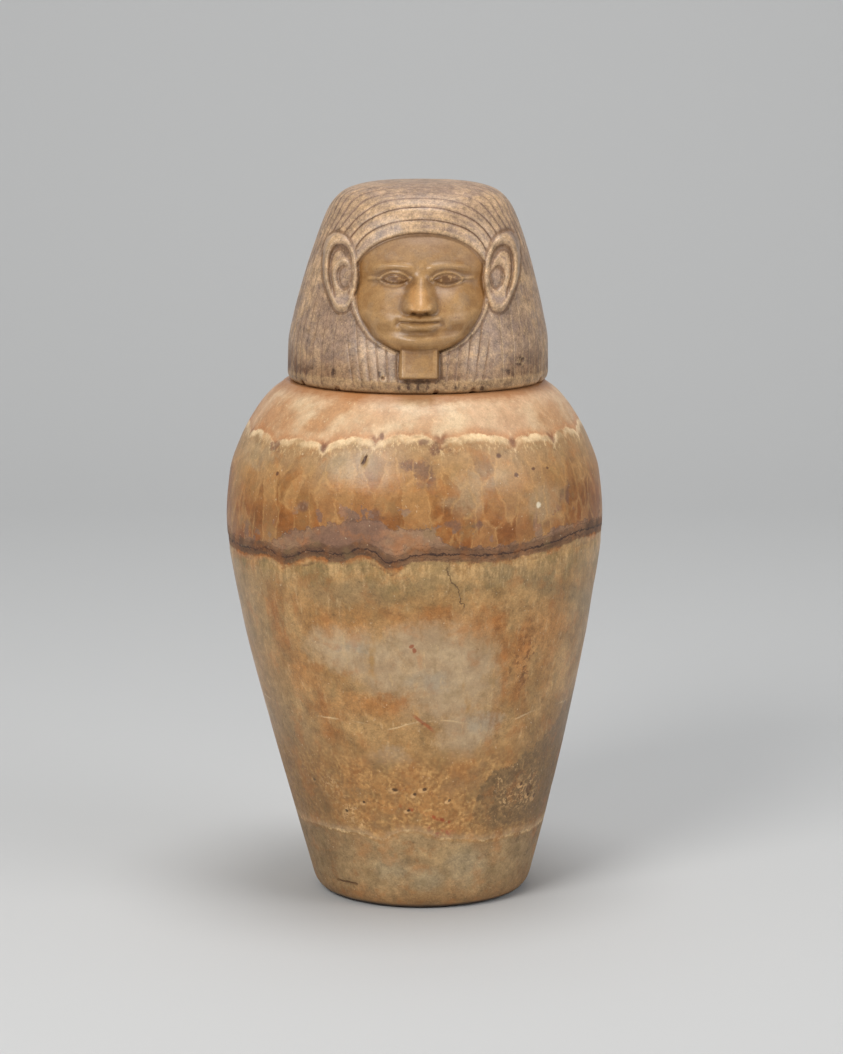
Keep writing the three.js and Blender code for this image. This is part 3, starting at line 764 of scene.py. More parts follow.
class JarStone(Net):
    """Banded calcite. Marks are placed by degrees from the front and millimetres of height."""

    def __init__(self):
        super().__init__("banded_calcite")
        place = self.node("ShaderNodeTexCoord", {}, output="Object")
        self.spot_mm = self.vmath("SCALE", place, scale=1000.0)
        self.x, self.y, self.z = self.parts(self.spot_mm)
        self.x = self.x - FOOT_SHIFT * self.rise(BELLY_HEIGHT, 0.0, self.z)
        self.turn = self.math("ARCTAN2", self.x, self.y * -1.0) * (180 / math.pi)
        self.around = self.turn * 1.5

        self.broad = self.noise(self.spot_mm, 46, 2)
        self.cloud = self.noise(self.spot_mm, 17, 4, 0.6)
        self.cloud_b = self.noise(self.vmath("ADD", self.spot_mm, (211.0, 87.0, 31.0)), 15, 4, 0.62)
        self.fine = self.noise(self.spot_mm, 3.2, 4, 0.65)
        self.grain = self.noise(self.spot_mm, 0.9, 3, 0.7)
        self.push = [part - 0.5 for part in self.parts(self.noise(self.spot_mm, 13, 4, 0.62, colour=True))]
        self.upright = self.vector(self.x, self.y, self.z * 0.22)
        self.fibre = self.noise(self.upright, 2.6, 4, 0.6)
        self.fibre_wide = self.noise(self.upright, 9.0, 3, 0.55)
        self.rag = [part - 0.5 for part in self.parts(self.noise(self.spot_mm, 4.0, 4, 0.7, colour=True))]
        self.chart = self.vector(self.turn + self.push[0] * 17.0 + self.rag[0] * 8.0,
                self.z + self.push[1] * 14.0 + self.rag[1] * 8.0)
        self.z_soft = self.z + self.push[2] * 3.0 + (self.fine - 0.5) * 2.2
        self.z_close = self.z + (self.fine - 0.5) * 1.6 + (self.grain - 0.5) * 0.5

        self.close_chart = self.vector(self.turn + self.rag[0] * 1.6, self.z + self.rag[1] * 1.8)
        self.find_lines()

    def patch(self, degrees, height, wide, tall, soft=0.5):
        """A blot with a ragged edge. Small ones wander less, so that they keep their place."""
        where = self.close_chart if max(wide, tall) < 3.0 else self.chart
        away = self.vmath("SUBTRACT", where, (degrees, height, 0.0))
        away = self.vmath("MULTIPLY", away, (1.0 / wide, 1.0 / tall, 0.0))
        return self.rise(1.0 + soft, 1.0 - soft, self.vmath("LENGTH", away, output=1))

    def patches(self, *items):
        total = None
        for item in items:
            one = self.patch(*item)
            total = one if total is None else self.largest(total, one)
        return total

    def find_lines(self):
        """Heights of the scalloped line, the vein and the crust over it, all round."""
        scallop_base = self.follow(self.turn, [(-180, 237), (-90, 236), (-66, 235.5), (-53, 234.5),
                (-31, 235.5), (-16, 238.5), (5, 239.5), (22, 239), (34, 237.5), (50, 236.5), (76, 237),
                (120, 238), (180, 237)], 220, 260)
        lobes = self.follow(self.turn, [(-180, 0), (-158, 1), (-136, 2), (-118, 3), (-98, 4), (-74, 5),
                (-53, 6), (-31, 7), (-13, 8), (9, 9), (34.5, 10), (53, 11), (72, 12), (94, 13), (116, 14),
                (138, 15), (160, 16), (180, 17)], 0, 17)
        lobe_at = self.math("FRACT", lobes + self.push[0] * 0.16) - 0.5
        lobe = self.math("POWER", self.math("MAXIMUM", 0.25 - lobe_at * lobe_at, 0.0), 0.5) * 2.0
        small = self.math("FRACT", lobes * 2.7 + self.push[1] * 0.5) - 0.5
        small = self.math("POWER", self.math("MAXIMUM", 0.25 - small * small, 0.0), 0.5) * 2.0
        self.scallop = scallop_base + lobe * 4.6 + small * 1.3 - 0.6
        self.notch = self.rise(0.36, 0.47, self.size(lobe_at))
        self.vein = self.follow(self.turn, [(-180, 187), (-140, 181), (-100, 186), (-75, 183), (-57, 184),
                (-50, 186), (-44, 183), (-36, 186), (-30, 188.5), (-24, 187), (-20, 188), (-15, 190.5),
                (-10, 187), (-7, 184.5), (0, 188), (10, 188.5), (22, 187), (31, 187.5), (47, 190),
                (62, 192), (80, 190), (110, 184), (150, 190), (180, 187)], 160, 220)
        self.crust_top = self.follow(self.turn, [(-180, 194), (-120, 189), (-90, 190), (-60, 187),
                (-49, 189.5), (-40, 196), (-30, 200), (-20, 204), (-12, 205.5), (-6, 200.5), (1, 201),
                (8, 196), (14, 191), (24, 191), (31, 191.5), (42, 194), (51, 197), (70, 196), (100, 191),
                (140, 196), (180, 194)], 160, 220)

        self.above_scallop = self.rise(-0.5, 0.5, self.z_close - self.scallop)
        self.under_vein = self.rise(0.5, -0.7, self.z_close - self.vein + 1.5)

    def shoulder(self):
        """Pale peach stone above the scallops."""
        shoulder = self.blend(self.rise(0.38, 0.62, self.cloud), tint(234, 205, 168), tint(214, 173, 134))
        shoulder = self.paint(shoulder, self.rise(0.5, 0.66, self.broad) * 0.5, 222, 180, 146)
        diagonal = self.line(self.turn + 33.0 + (252.0 - self.z) * 0.75 + self.push[0] * 8.0, 8.0, 0.7)
        diagonal = diagonal * self.rise(240.0, 246.0, self.z)
        shoulder = self.paint(shoulder, self.largest(diagonal * 0.7, self.patches((-62, 246, 14, 10, 0.6),
                (-88, 250, 14, 12, 0.6), (60, 246, 10, 8, 0.8), (140, 250, 12, 9, 0.7)) * 0.6),
                192, 134, 84)
        shoulder = self.paint(shoulder, self.rise(5.0, 0.5, self.z_soft - self.scallop) * 0.6, 202, 138, 88)
        shoulder = self.paint(shoulder, self.rise(0.56, 0.72, self.noise(self.vector(self.x, self.y,
                self.z * 0.5), 2.2, 4, 0.65)) * 0.5, 244, 214, 170)
        return shoulder

    def honey(self):
        """Honey coloured stone between the scallops and the vein."""
        climb = self.rise(-3.0, 44.0,
                self.z - self.vein + (self.cloud - 0.5) * 26.0 + (self.fibre_wide - 0.5) * 16.0)
        honey = self.blend(climb, tint(156, 94, 40), tint(188, 142, 88))
        honey = self.paint(honey, self.rise(0.46, 0.62, self.cloud_b) * 0.75, 150, 98, 48)
        honey = self.paint(honey, self.rise(0.58, 0.42, self.cloud) * 0.5, 186, 146, 94)
        under_scallop = self.rise(-27.0, -5.0, self.z_soft - self.scallop + (self.cloud - 0.5) * 26.0)
        honey = self.paint(honey, under_scallop * 0.72, 184, 158, 122)
        honey = self.paint(honey, self.patches((15, 216, 6, 9, 0.6), (22, 224, 6, 7, 0.6),
                (43, 209, 7, 9, 0.7), (-62, 230, 9, 5, 0.6), (-22, 230, 7, 6, 0.6)) * 0.6, 196, 178, 148)
        honey = self.paint(honey, self.patches((4, 226, 3.4, 8, 0.45), (1, 232, 5, 2.2),
                (-35, 209, 2, 2.4, 0.4), (-11, 206, 3, 2.2, 0.4), (12, 202.5, 3.6, 2.2, 0.4),
                (20, 202, 2.4, 3.6, 0.4), (52, 213, 2.5, 5), (120, 214, 5, 6)) * 0.75, 128, 100, 88)
        honey = self.paint(honey, self.patches((10, 209, 6, 4), (-4, 203, 5, 5, 0.6), (-52, 202, 9, 6, 0.7),
                (32, 199, 8, 4, 0.6), (-82, 206, 9, 12, 0.7), (72, 206, 10, 9, 0.7)) * 0.6, 140, 86, 38)
        return honey

    def lower_body(self):
        """Fibrous tan and olive stone below the vein, with a pale patch."""
        lower = self.blend(self.rise(0.36, 0.64, self.cloud), tint(188, 152, 104), tint(160, 124, 78))
        lower = self.paint(lower, self.rise(0.5, 0.7, self.broad) * 0.55, 172, 130, 82)
        lower = self.paint(lower, self.rise(0.52, 0.72, self.cloud_b) * 0.5, 178, 132, 80)
        lower = self.paint(lower, self.rise(165.0, 172.0, self.z_soft)
                * self.rise(0.42, 0.58, self.cloud_b) * 0.6, 152, 132, 94)
        lower = self.paint(lower, self.patches((-66, 150, 16, 30, 0.7), (-58, 95, 14, 30, 0.7),
                (70, 150, 12, 22, 0.7), (-20, 168, 14, 6, 0.7), (150, 130, 30, 40, 0.8)) * 0.5,
                150, 128, 96)
        slope = self.z - 184.0 + (self.turn - 23.0) * 0.55
        slope = self.line(slope + 5.0 + (self.cloud - 0.5) * 16.0, 8.0, 0.8)
        slope = slope * self.rise(14.0, 26.0, self.turn)
        slope = slope * self.rise(100.0, 80.0, self.turn)
        lower = self.paint(lower, slope * 0.6, 142, 122, 88)
        lower = self.paint(lower, self.patches((8, 152, 16, 7, 0.7), (-24, 150, 10, 8, 0.8),
                (48, 146, 10, 12, 0.8), (-16, 110, 13, 6, 0.8), (22, 150, 6, 6, 0.8), (36, 132, 6, 18, 0.7),
                (-42, 124, 6, 10, 0.8), (-120, 120, 20, 14, 0.8)) * 0.6, 184, 130, 74)
        self.pale = self.patches((11, 126, 17, 24), (-20, 138, 15, 11), (3, 142, 11, 12),
                (-10, 128, 9, 11, 0.6), (17, 96, 10, 12, 0.6), (-12, 84, 7, 5, 0.6),
                (-150, 140, 16, 20, 0.6))
        pale_stone = self.blend(self.rise(0.38, 0.62, self.cloud_b), tint(195, 172, 142),
                tint(179, 154, 124))
        lower = self.blend(self.pale * self.rise(0.2, 0.4,
                self.fibre_wide + (self.cloud - 0.5) * 0.6) * 0.97, lower, pale_stone)
        lower = self.paint(lower, self.patches((5, 124, 6, 5, 0.7), (-20, 140, 5, 2.5, 0.6),
                (24, 100, 5, 4, 0.7)) * 0.55, 168, 160, 146)
        lower = self.paint(lower, self.rise(0.57, 0.75, self.fibre) * 0.35, 140, 106, 66)
        lower = self.paint(lower, self.rise(0.43, 0.3, self.fibre) * 0.35, 220, 190, 146)
        stain = self.patches((39, 130, 3.4, 17, 0.6), (28, 152, 2.5, 4, 0.6))
        stain = stain * self.rise(0.48, 0.56, self.fine)
        lower = self.paint(lower, stain * 0.75, 118, 76, 40)
        rust = self.patches((33, 124, 9, 26, 0.9), (-33, 104, 10, 16, 0.6), (-8, 113, 12, 4, 0.6),
                (30, 152, 12, 7, 0.6), (8, 160, 20, 4, 0.6), (-48, 150, 8, 16, 0.6))
        lower = self.paint(lower, rust * self.rise(0.42, 0.62,
                self.fibre_wide + (self.cloud - 0.5) * 0.6) * 0.6, 168, 110, 56)
        lower = self.paint(lower, self.patches((-1.3, 142, 0.7, 1.2, 0.4),
                (-0.4, 139.8, 0.5, 1.3, 0.4)) * 0.8, 150, 80, 50)
        ringline = self.follow(self.turn, [(-180, 98), (-90, 104), (-45, 102), (-20, 101), (-12, 98.5),
                (-4, 101), (6, 103), (16, 101.5), (27, 98), (50, 103), (110, 98), (180, 98)], 80, 120)
        lower = self.paint(lower, self.line(self.z_close - ringline, 0.6)
                * self.rise(0.45, 0.6, self.cloud_b) * 0.6, 226, 200, 160)
        red = self.line(self.z_close - 103.0 + (self.turn - 1.0) * 1.1, 1.5)
        red = red * self.rise(4.5, 2.0, self.size(self.turn - 2.0))
        lower = self.paint(lower, red * 0.7, 160, 84, 50)
        return lower

    def low_zone(self, lower):
        """Pitted orange-brown stone low on the left, grey-brown crust low on the right."""
        low_zone = self.rise(92.0, 74.0, self.z_soft + (self.cloud - 0.5) * 26.0)
        crumbs = self.noise(self.spot_mm, 1.8, 5, 0.72)
        mottled = self.blend(self.rise(0.42, 0.6, self.fine), tint(156, 114, 68), tint(196, 152, 98))
        mottled = self.paint(mottled, self.rise(0.53, 0.58, crumbs) * 0.8, 228, 184, 122)
        mottled = self.paint(mottled, self.rise(0.45, 0.4, crumbs) * 0.7, 122, 84, 48)
        mottled = self.paint(mottled, self.rise(0.52, 0.68, self.cloud_b), 152, 118, 80)
        lower = self.blend(low_zone * 0.8, lower, mottled)
        glow = self.patches((-14, 62, 22, 10, 0.6), (-34, 62, 14, 12, 0.7), (4, 56, 12, 9, 0.7),
                (110, 60, 30, 12, 0.7))
        lower = self.paint(lower, glow * self.rise(0.44, 0.58, self.fine) * 0.55, 196, 140, 80)
        grey_edge = self.follow(self.turn, [(-180, 74), (-120, 66), (-60, 30), (15, 30), (24, 62), (34, 74),
                (46, 82), (58, 91), (72, 101), (90, 106), (130, 88), (180, 74)], 20, 120)
        crust_rise = self.z - grey_edge + (self.fine - 0.5) * 8.0 + self.rag[2] * 9.0
        crust_rise = crust_rise + (self.cloud - 0.5) * 22.0
        grey_crust = self.rise(0.7, -0.7, crust_rise)
        grey_crust = grey_crust * self.rise(38.0, 46.0, self.z_soft)
        grey_crust = grey_crust * self.line(self.turn - 83.0 + (self.cloud_b - 0.5) * 60.0, 67.0, 0.27)
        grey = self.blend(self.rise(0.4, 0.6, self.fine), tint(110, 88, 60), tint(146, 118, 82))
        grey = self.paint(grey, self.rise(0.56, 0.62, crumbs) * 0.6, 196, 160, 112)
        lower = self.blend(grey_crust * 0.92, lower, grey)
        spatter = self.patches((52, 60, 8, 9, 0.6), (40, 58, 5, 5, 0.6), (34, 66, 3, 3, 0.6),
                (-28, 48, 5, 6, 0.6), (-40, 64, 6, 7, 0.6))
        spatter = spatter * self.rise(0.51, 0.57, self.noise(self.spot_mm, 2.0, 4, 0.7))
        lower = self.paint(lower, spatter * 0.8, 222, 184, 134)
        streak = self.z_close - 57.5 + (self.turn + 8.0) * 0.45
        streak = self.line(streak, 1.6, 0.8) * self.rise(15.0, 9.0, self.size(self.turn - 3.0))
        lower = self.paint(lower, streak * self.rise(0.4, 0.6, self.fibre) * 0.95, 166, 84, 48)
        lower = self.paint(lower, self.patch(9, 43.5, 5, 2.4) * self.rise(0.42, 0.58, self.fine) * 0.8,
                170, 92, 66)
        return lower

    def foot(self, lower):
        """Greyer foot under a thin pale wavy line, and the pits above it, drawn in painted shade with
        painted highlights on their rims.
        """
        footline = self.follow(self.turn, [(-180, 40), (-120, 43), (-70, 40), (-50, 40.5), (-26, 40.5),
                (-20, 38), (-13, 41), (-4, 43.5), (3, 42), (9, 39.5), (22, 38), (32, 36.5), (46, 37),
                (60, 36), (110, 41), (180, 40)], 20, 60)
        foot_mask = self.rise(0.8, -2.5, self.z_soft - footline)
        foot = self.blend(self.rise(0.36, 0.62, self.cloud), tint(186, 158, 118), tint(160, 134, 98))
        foot = self.paint(foot, self.rise(0.5, 0.66, self.cloud_b) * 0.6, 182, 142, 98)
        foot = self.paint(foot, self.patches((22, 24, 9, 10, 0.7), (-14, 22, 10, 5, 0.7),
                (2, 18, 8, 6, 0.7)) * 0.5, 176, 164, 138)
        foot = self.paint(foot, self.rise(14.0, 2.0, self.z_soft) * 0.7, 158, 118, 74)
        lower = self.blend(foot_mask, lower, foot)
        pit_list = ((-10, 66, 1.3, 1.1), (2, 66.5, 1.2, 0.9), (-2, 63.5, 0.8, 0.9), (-24, 58, 0.8, 0.7),
                (-5, 55, 0.9, 0.7), (-33, 52, 1.0, 0.8), (12, 60, 0.7, 0.7), (46, 64, 1.1, 1.0),
                (57, 55, 1.3, 1.2), (52, 57, 1.0, 0.8), (-48, 66, 0.9, 0.8), (92, 60, 1.4, 1.2),
                (130, 66, 1.2, 1.2), (-110, 58, 1.5, 1.2))
        # Pits not cut in the mesh: painted shade fills each pit and a painted highlight lies on its rim, set
        # a little lower and to one side.
        pits = self.patches(*[(at, up, wide * 0.8, tall, 0.35) for at, up, wide, tall in pit_list])
        pit_highlights = self.patches(*[
            (at - 0.8, up - 0.7, wide * 1.5, tall * 1.5, 0.3) for at, up, wide, tall in pit_list])
        lower = self.paint(lower, pit_highlights * 0.75, 226, 184, 132)
        lower = self.paint(lower, pits * 0.9, 66, 42, 26)
        lower = self.paint(lower, self.patches((-62, 40, 26, 50, 0.7), (74, 50, 20, 60, 0.7)) * 0.6,
                116, 92, 62)
        speckled = self.rise(0.44, 0.56, self.noise(self.spot_mm, 2.2, 4, 0.7))
        lower = self.paint(lower, self.line(self.z_soft - footline, 1.1)
                * self.rise(0.4, 0.56, self.cloud_b) * speckled * 0.8, 228, 198, 152)
        lower = self.paint(lower, self.rise(5.0, 0.5, self.z_close - footline)
                * self.rise(-0.5, 0.6, self.z_close - footline) * 0.45, 196, 172, 140)
        return lower

    def scallop_line(self, colour):
        """Cream line along the scallops, with purple-brown marks in its notches."""
        off = self.z_close - self.scallop
        cream = self.rise(-3.8, -0.9, off + (self.fine - 0.5) * 3.5) * self.rise(0.9, 0.0, off)
        cream = cream * self.rise(0.2, 0.42, self.noise(self.spot_mm, 5.0, 3, 0.6))
        colour = self.paint(colour, cream * self.rise(0.3, 0.6, self.cloud) * 0.9, 244, 218, 180)
        lacy = self.rise(-10.0, -3.0, off) * self.rise(-0.5, -2.0, off)
        lacy = lacy * self.rise(0.53, 0.62, self.noise(self.upright, 1.5, 4, 0.65))
        colour = self.paint(colour, lacy * 0.55, 232, 204, 160)
        notch_mark = self.notch * self.rise(-2.5, -0.5, off) * self.rise(4.0, 1.5, off)
        colour = self.paint(colour, notch_mark * self.rise(0.42, 0.58, self.cloud_b) * 0.75, 122, 82, 62)
        marks = self.patches((-53, 235.5, 3.0, 2.2), (8, 239.5, 3.6, 1.8), (3, 241.5, 2.0, 1.4),
                (34.5, 239.5, 1.4, 2.2), (-31, 237, 1.2, 1.8), (-11, 244, 0.8, 1.8), (-115, 238, 4, 2),
                (142, 237, 4, 2))
        colour = self.paint(colour, marks * 0.75, 118, 84, 68)
        return colour

    def dark_vein(self, colour):
        """Mauve vein: crust above, fine lines inside, orange rim and pale fibres below."""
        gap = self.z_close - self.vein + self.rag[1] * 2.6 + self.rag[2] * 1.4
        crust_edge = self.z - self.crust_top + self.rag[2] * 9.0 + (self.fine - 0.5) * 3.0
        self.crust = self.rise(0.5, -0.4, crust_edge) * self.rise(-1.0, 0.0, gap)
        islands = self.rise(0.585, 0.61, self.noise(self.vmath("ADD", self.spot_mm, (60.0, 13.0, 3.0)), 9.0,
                4, 0.6))
        islands = islands * self.rise(16.0, 7.0, crust_edge) * self.rise(-1.0, 0.0, gap)
        self.crust = self.largest(self.crust, islands)
        mauve = self.blend(self.rise(0.4, 0.6, self.cloud), tint(156, 126, 102), tint(132, 102, 86))
        mauve = self.paint(mauve, self.rise(0.5, 0.62, self.cloud_b) * 0.6, 170, 122, 90)
        colour = self.blend(self.crust * 0.94, colour, mauve)
        crust_line = self.line(crust_edge + 0.3, 0.5) * self.rise(-1.0, 1.0, gap)
        colour = self.paint(colour, crust_line * 0.5, 96, 68, 54)
        self.band = self.rise(-4.4, -3.2, gap + (self.cloud - 0.5) * 4.0)
        self.band = self.band * self.rise(4.6, 2.4, gap + (self.cloud_b - 0.5) * 7.0)
        dark_band = self.blend(self.rise(0.4, 0.6, self.cloud), tint(130, 96, 70), tint(102, 74, 54))
        colour = self.blend(self.band * 0.92, colour, dark_band)
        wander = gap + self.push[1] * 7.0 + self.rag[0] * 3.0
        ripple = self.rise(0.8, 0.98, self.math("SINE", wander * 2.6)) * self.rise(7.5, 4.0, self.size(gap))
        ripple = ripple * self.largest(self.band, self.crust)
        ripple = ripple * self.rise(0.36, 0.5, self.cloud_b)
        colour = self.paint(colour, ripple * 0.6, 78, 54, 44)
        thread = self.line(gap + self.rag[1] * 2.0, 0.6, 0.7)
        colour = self.paint(colour, thread * 0.9, 58, 38, 32)
        rim = self.rise(-7.0, -5.0, gap + (self.fibre - 0.5) * 5.0) * self.rise(-2.6, -3.6, gap)
        rim = rim * self.rise(0.46, 0.6, self.cloud)
        colour = self.paint(colour, rim * 0.7, 184, 118, 60)
        flames = self.rise(-17.0, -6.0, gap + (self.fibre - 0.5) * 16.0 + (self.fine - 0.5) * 18.0)
        flames = flames * self.rise(-4.0, -5.6, gap)
        colour = self.paint(colour, flames * self.rise(0.44, 0.6,
                self.fibre + (self.fine - 0.5) * 0.7) * 0.5, 224, 188, 138)
        olive = self.rise(-26.0, -10.0, gap + (self.fibre_wide - 0.5) * 18.0 + (self.cloud_b - 0.5) * 24.0)
        olive = olive * self.rise(-4.5, -7.0, gap)
        colour = self.paint(colour, olive * self.rise(0.5, 0.62, self.cloud) * 0.6, 138, 118, 78)
        return colour

    def columns(self, colour):
        """Crystal columns between the scallops and the vein."""
        column_at = self.vector(self.around + self.push[0] * 9.0, self.z * 0.36 + self.push[1] * 5.0)
        cell = self.cells(column_at, 8.5, output="Color")
        edge = self.cells(column_at, 8.5, feature="DISTANCE_TO_EDGE")
        cell_value = self.parts(cell)[0]
        column_part = self.rise(2.0, 16.0, self.scallop - self.z_soft)
        column_part = column_part * self.rise(0.0, 3.0, self.z - self.vein)
        column_part = column_part * (1.0 - self.crust * 0.9)
        colour = self.paint(colour, self.rise(0.52, 0.9, cell_value) * column_part * 0.3, 116, 70, 31)
        colour = self.paint(colour, self.rise(0.44, 0.05, cell_value) * column_part * 0.26, 198, 160, 112)
        veil = self.rise(0.085, 0.01, edge) * self.rise(0.36, 0.52, self.cloud_b) * column_part
        colour = self.paint(colour, veil * 0.34, 212, 168, 112)
        return colour

    def mottling(self, colour):
        """Mottling at three sizes over everything."""
        mottle = (self.noise(self.spot_mm, 7.0, 4, 0.7) - 0.5) * 1.0 + (self.fine - 0.5) * 0.9
        mottle = mottle + (self.grain - 0.5) * 1.1
        soft_part = self.largest(self.above_scallop * 0.45, self.pale * 0.55)
        soft_part = self.largest(soft_part, (1.0 - self.above_scallop)
                * self.rise(-2.0, 4.0, self.z - self.vein) * 0.35)
        colour = self.shade(colour, 1.0 - mottle * (1.0 - soft_part))
        warmth = self.noise(self.vmath("ADD", self.spot_mm, (5.0, 77.0, 19.0)), 11.0, 4, 0.65)
        calm = 0.3 - self.above_scallop * 0.2
        colour = self.paint(colour, self.rise(0.52, 0.68, warmth) * calm, 184, 116, 54)
        colour = self.paint(colour, self.rise(0.46, 0.32, warmth) * calm, 142, 122, 84)
        colour = self.filter(colour, 0.95, 0.88, 0.78)
        return colour

    def wear(self, colour):
        """Cracks, slits, pits, specks, painted shade in hollows, a painted contact shadow at the foot, a
        painted shadow under the lid, and the plainer inside.
        """
        crack_x = self.rise(161.0, 182.0, self.z) * -5.0 + 15.0
        crack = self.line((self.turn - crack_x) + (self.fine - 0.5) * 3.0 + self.push[0] * 4.0, 0.3, 0.6)
        crack = crack * self.rise(160.0, 162.0, self.z) * self.rise(183.0, 181.0, self.z)
        colour = self.paint(colour, crack * 0.8, 92, 66, 42)
        slit = self.line((self.turn + 16.0) * 1.2 - (self.z - 233.0) * 0.35, 0.8)
        slit = slit * self.line(self.z - 233.0, 3.0)
        low_slit = self.line(self.z - 11.6 - (self.fine - 0.5) * 2.4, 0.4)
        low_slit = low_slit * self.line(self.turn + 41.5, 7.5, 0.3)
        colour = self.paint(colour, self.largest(slit, low_slit), 62, 36, 20)
        specks = self.patches((28, 234, 0.9, 1.2, 0.4), (33, 224.5, 0.7, 1.1, 0.4),
                (40, 226.5, 0.7, 0.8, 0.4), (-47, 223, 0.6, 0.9, 0.4), (46, 226, 0.5, 0.7, 0.4))
        colour = self.paint(colour, specks * 0.85, 92, 58, 40)
        colour = self.paint(colour, self.patch(40, 209, 1.0, 1.5, 0.35) * 0.9, 236, 220, 190)
        pepper = self.rise(0.7, 0.78, self.noise(self.spot_mm, 1.7, 2, 0.5))
        pepper = pepper * self.rise(0.45, 0.6, self.cloud_b)
        colour = self.paint(colour, pepper * 0.5, 112, 78, 48)
        salt = self.rise(0.68, 0.78, self.noise(self.vmath("ADD", self.spot_mm, (40.0, 9.0, 5.0)), 1.5, 2,
                0.5))
        colour = self.paint(colour, salt * 0.5, 232, 206, 168)
        # Painted shade: the surface darkened in its hollows, where the recess attribute is high.
        recess = self.attribute("recess")
        colour = self.paint(colour, self.rise(0.12, 0.7, recess) * 0.6, 96, 62, 36)
        # Painted contact shadow: the lowest few millimetres of the foot darkened where the jar meets the
        # floor.
        colour = self.paint(colour, self.rise(3.4, 1.2, self.z_close) * 0.85, 52, 36, 22)
        # Painted shadow: an orange-brown band at the top of the jar, just under the lid's edge.
        lid_shadow = self.rise(256.5, 261.5, self.z + (self.fine - 0.5) * 3.0)
        colour = self.paint(colour, lid_shadow * 0.7, 160, 98, 46)
        self.outside = self.attribute("outside")
        inner = self.blend(self.rise(0.4, 0.62, self.cloud), tint(196, 164, 122), tint(168, 134, 94))
        colour = self.blend(self.outside, inner, colour)
        return colour

    def dress(self):
        """Lay all the layers over each other and return the finished material."""
        shoulder = self.shoulder()
        honey = self.honey()
        lower = self.foot(self.low_zone(self.lower_body()))
        honey = self.filter(honey, 0.86, 0.82, 0.80)
        body = self.blend(self.under_vein, honey, lower)
        colour = self.blend(self.above_scallop, body, self.filter(shoulder, 0.87, 0.91, 0.97))
        for layer in (self.scallop_line, self.dark_vein, self.columns, self.mottling, self.wear):
            colour = layer(colour)
        roughness = self.mean(self.largest(self.band, self.crust), (self.cloud - 0.5) * 0.22 + 0.36, 0.62)
        roughness = self.mean(self.rise(92.0, 70.0, self.z), roughness, (self.fine - 0.5) * 0.4 + 0.52)
        roughness = self.mean(self.outside, 0.7, roughness)
        self.shader.inputs["Specular IOR Level"].default_value = 0.4
        height = (self.fine - 0.5) * 0.35 + (self.grain - 0.5) * 0.3 + (self.fibre - 0.5) * 0.25
        height = height * (1.0 + self.rise(86.0, 64.0, self.z) * 1.4)
        return self.finish(colour, roughness, height, 0.55, 0.0005)


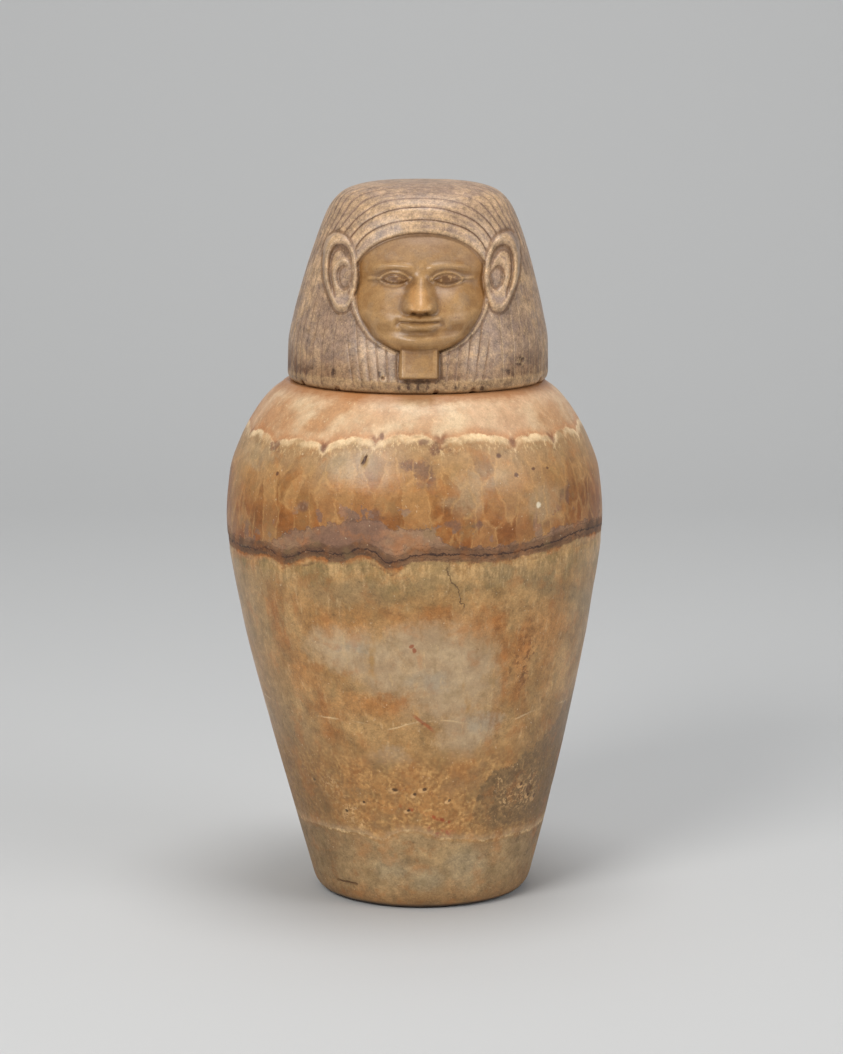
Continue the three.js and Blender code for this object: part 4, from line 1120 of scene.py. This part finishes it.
def lid_stone():
    """Carved calcite: a grey and mauve wig with drawn strands, and a waxy face."""
    net = Net("carved_calcite")
    place = net.node("ShaderNodeTexCoord", {}, output="Object")
    spot_mm = net.vmath("SCALE", place, scale=1000.0)
    x, y, z = net.parts(spot_mm)
    broad = net.noise(spot_mm, 30, 2)
    cloud = net.noise(spot_mm, 11, 4, 0.62)
    cloud_b = net.noise(net.vmath("ADD", spot_mm, (91.0, 37.0, 11.0)), 9, 4, 0.65)
    fine = net.noise(spot_mm, 2.4, 4, 0.65)
    grain = net.noise(spot_mm, 0.8, 3, 0.7)
    upright = net.vector(x, y, z * 0.25)
    fibre = net.noise(upright, 1.5, 3, 0.6)
    recess = net.attribute("recess")
    strand = net.attribute("strand")
    near = net.size(strand - net.math("ROUND", strand)) * net.attribute("strand_width")
    near = near + (fine - 0.5) * 0.3
    strand_line = net.rise(0.5, 0.14, near) * net.attribute("strand_on")
    fan = net.attribute("fan")
    near = net.size(fan - net.math("ROUND", fan)) * 4.4 + (fine - 0.5) * 0.3
    fan_line = net.rise(0.46, 0.12, near) * net.attribute("fan_on")
    skin = net.attribute("skin")
    h = z - RIM_HEIGHT

    wig = net.blend(net.rise(0.4, 0.58, cloud), tint(186, 156, 126), tint(154, 128, 108))
    wig = net.paint(wig, net.rise(0.46, 0.6, cloud_b) * 0.8, 140, 120, 108)
    wig = net.paint(wig, net.rise(0.52, 0.66, net.noise(spot_mm, 6.5, 3, 0.6, 0.6)) * 0.35, 188, 152, 112)
    wig = net.paint(wig, net.rise(0.5, 0.62, broad) * 0.55, 140, 116, 100)
    flecks = net.rise(0.58, 0.66, net.noise(spot_mm, 2.8, 4, 0.7))
    wig = net.paint(wig, flecks * net.rise(0.4, 0.56, cloud_b) * 0.2, 200, 168, 130)
    wig = net.paint(wig, net.rise(0.56, 0.72, fibre) * 0.4, 200, 170, 130)
    wig = net.paint(wig, net.rise(76.0, 96.0, h) * 0.35, 148, 122, 104)
    low_band = net.rise(22.0, 5.0, h + (fine - 0.5) * 9.0 + (cloud_b - 0.5) * 8.0)
    wig = net.paint(wig, low_band * 0.8, 134, 102, 72)
    wig = net.paint(wig, low_band * net.rise(0.46, 0.6, cloud) * 0.85, 88, 60, 44)

    honey = net.blend(net.rise(0.36, 0.66, cloud), tint(178, 144, 100), tint(152, 116, 74))
    honey = net.paint(honey, net.rise(0.48, 0.64, cloud_b) * 0.6, 160, 136, 110)
    honey = net.paint(honey, net.rise(58.0, 76.0, h) * 0.55, 162, 138, 116)
    rim_side = net.rise(22.0, 33.0, net.size(x - 2.5))
    honey = net.paint(honey, rim_side * 0.55, 158, 114, 62)
    nose_tip = net.rise(6.0, 2.0, net.size(x - 2.3)) * net.line(h - 46.0 + (fine - 0.5) * 4.0, 8.0)
    honey = net.paint(honey, nose_tip * 0.7, 214, 166, 110)
    honey = net.paint(honey, net.rise(0.6, 0.75, broad) * 0.5, 190, 158, 114)
    colour = net.blend(skin, wig, honey)

    pale = net.rise(-20.0, 30.0, x + (cloud - 0.5) * 60.0) * net.rise(70.0, 50.0, h)
    line_colour = net.blend(pale * 0.8, tint(84, 58, 42), tint(212, 180, 138))
    colour = net.blend(strand_line * 0.9, colour, line_colour)
    fan_colour = net.blend(net.rise(0.35, 0.55, cloud), tint(104, 78, 58), tint(160, 130, 100))
    colour = net.blend(fan_line * 0.85, colour, fan_colour)
    knots = None
    for turn_x, up, size in ((4.0, 5.0, 3.0), (-16.0, 9.0, 1.6), (34.0, 3.5, 3.0), (52.0, 14.0, 2.2),
                             (-40.0, 9.0, 1.5), (20.0, 4.0, 2.2), (-4.0, 2.6, 3.4), (46.0, 9.0, 1.4),
                             (-58.0, 4.0, 2.4)):
        away = net.vmath("SUBTRACT", net.vector(x, 0.0, h + (cloud - 0.5) * 9.0), (turn_x, 0.0, up))
        one = net.rise(size * 1.5, size * 0.7, net.vmath("LENGTH", away, output=1))
        knots = one if knots is None else net.largest(knots, one)
    colour = net.paint(colour, knots * net.rise(0.38, 0.5, fine) * 0.85, 66, 44, 34)
    # Painted shade: the surface darkened in its hollows, where the recess attribute is high, less on the
    # face.
    deep = net.rise(0.1, 0.8, recess)
    colour = net.paint(colour, deep * 0.6 * (1.0 - skin * 0.35), 104, 74, 46)
    # Painted highlight on edges and ridges, where the recess attribute is below zero.
    colour = net.paint(colour, net.rise(-0.12, -0.7, recess) * 0.3, 214, 180, 134)
    inlay = net.attribute("inlay")
    colour = net.paint(colour, inlay * net.rise(0.3, 0.5, fine) * 0.8, 98, 64, 36)
    pepper = net.rise(0.68, 0.77, net.noise(spot_mm, 1.3, 2, 0.5))
    colour = net.paint(colour, pepper * 0.5, 92, 66, 46)
    salt = net.rise(0.67, 0.77, net.noise(net.vmath("ADD", spot_mm, (40.0, 9.0, 5.0)), 1.2, 2, 0.5))
    colour = net.paint(colour, salt * 0.5 * (1.0 - skin * 0.6), 220, 190, 148)
    colour = net.paint(colour, (grain - 0.5) * 0.5 + 0.1, 104, 78, 54)
    # Painted shadow: the lowest 1.6 mm of the lid darkened where it sits on the jar.
    colour = net.paint(colour, net.rise(1.6, 0.2, h + (fine - 0.5) * 1.4) * 0.8, 92, 58, 30)
    under = net.rise(0.1, -0.1, h)
    colour = net.blend(under, colour, net.blend(cloud, tint(190, 158, 116), tint(164, 130, 90)))

    mottle = (net.noise(spot_mm, 4.5, 4, 0.7) - 0.5) * 0.8 + (fine - 0.5) * 0.8 + (grain - 0.5) * 0.9
    colour = net.shade(colour, 1.0 - mottle * (1.5 - skin * 1.1))
    colour = net.filter(colour, 1.12, 1.09, 1.04)
    colour = net.blend(skin, colour, net.filter(colour, 0.80, 0.735, 0.66))
    net.shader.inputs["Specular IOR Level"].default_value = 0.4
    roughness = (cloud - 0.5) * 0.3 + 0.38 - skin * 0.02
    height = (fine - 0.5) * 0.35 + (grain - 0.5) * 0.35 + (fibre - 0.5) * 0.25 
    height = height * (1.0 - skin * 0.55) - strand_line * 0.9 - fan_line * 0.7
    return net.finish(colour, roughness, height, 0.5, 0.0004)


make_camera()
make_stage()
jar = make_jar()
lid = make_lid()
plug = make_plug()
jar.data.materials.append(JarStone().dress())
lid.data.materials.append(lid_stone())
plug.data.materials.append(lid.data.materials[0])
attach(jar, "root")
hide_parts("jar")
for piece in (lid, plug):
    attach(piece, "root")
    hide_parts("lid")
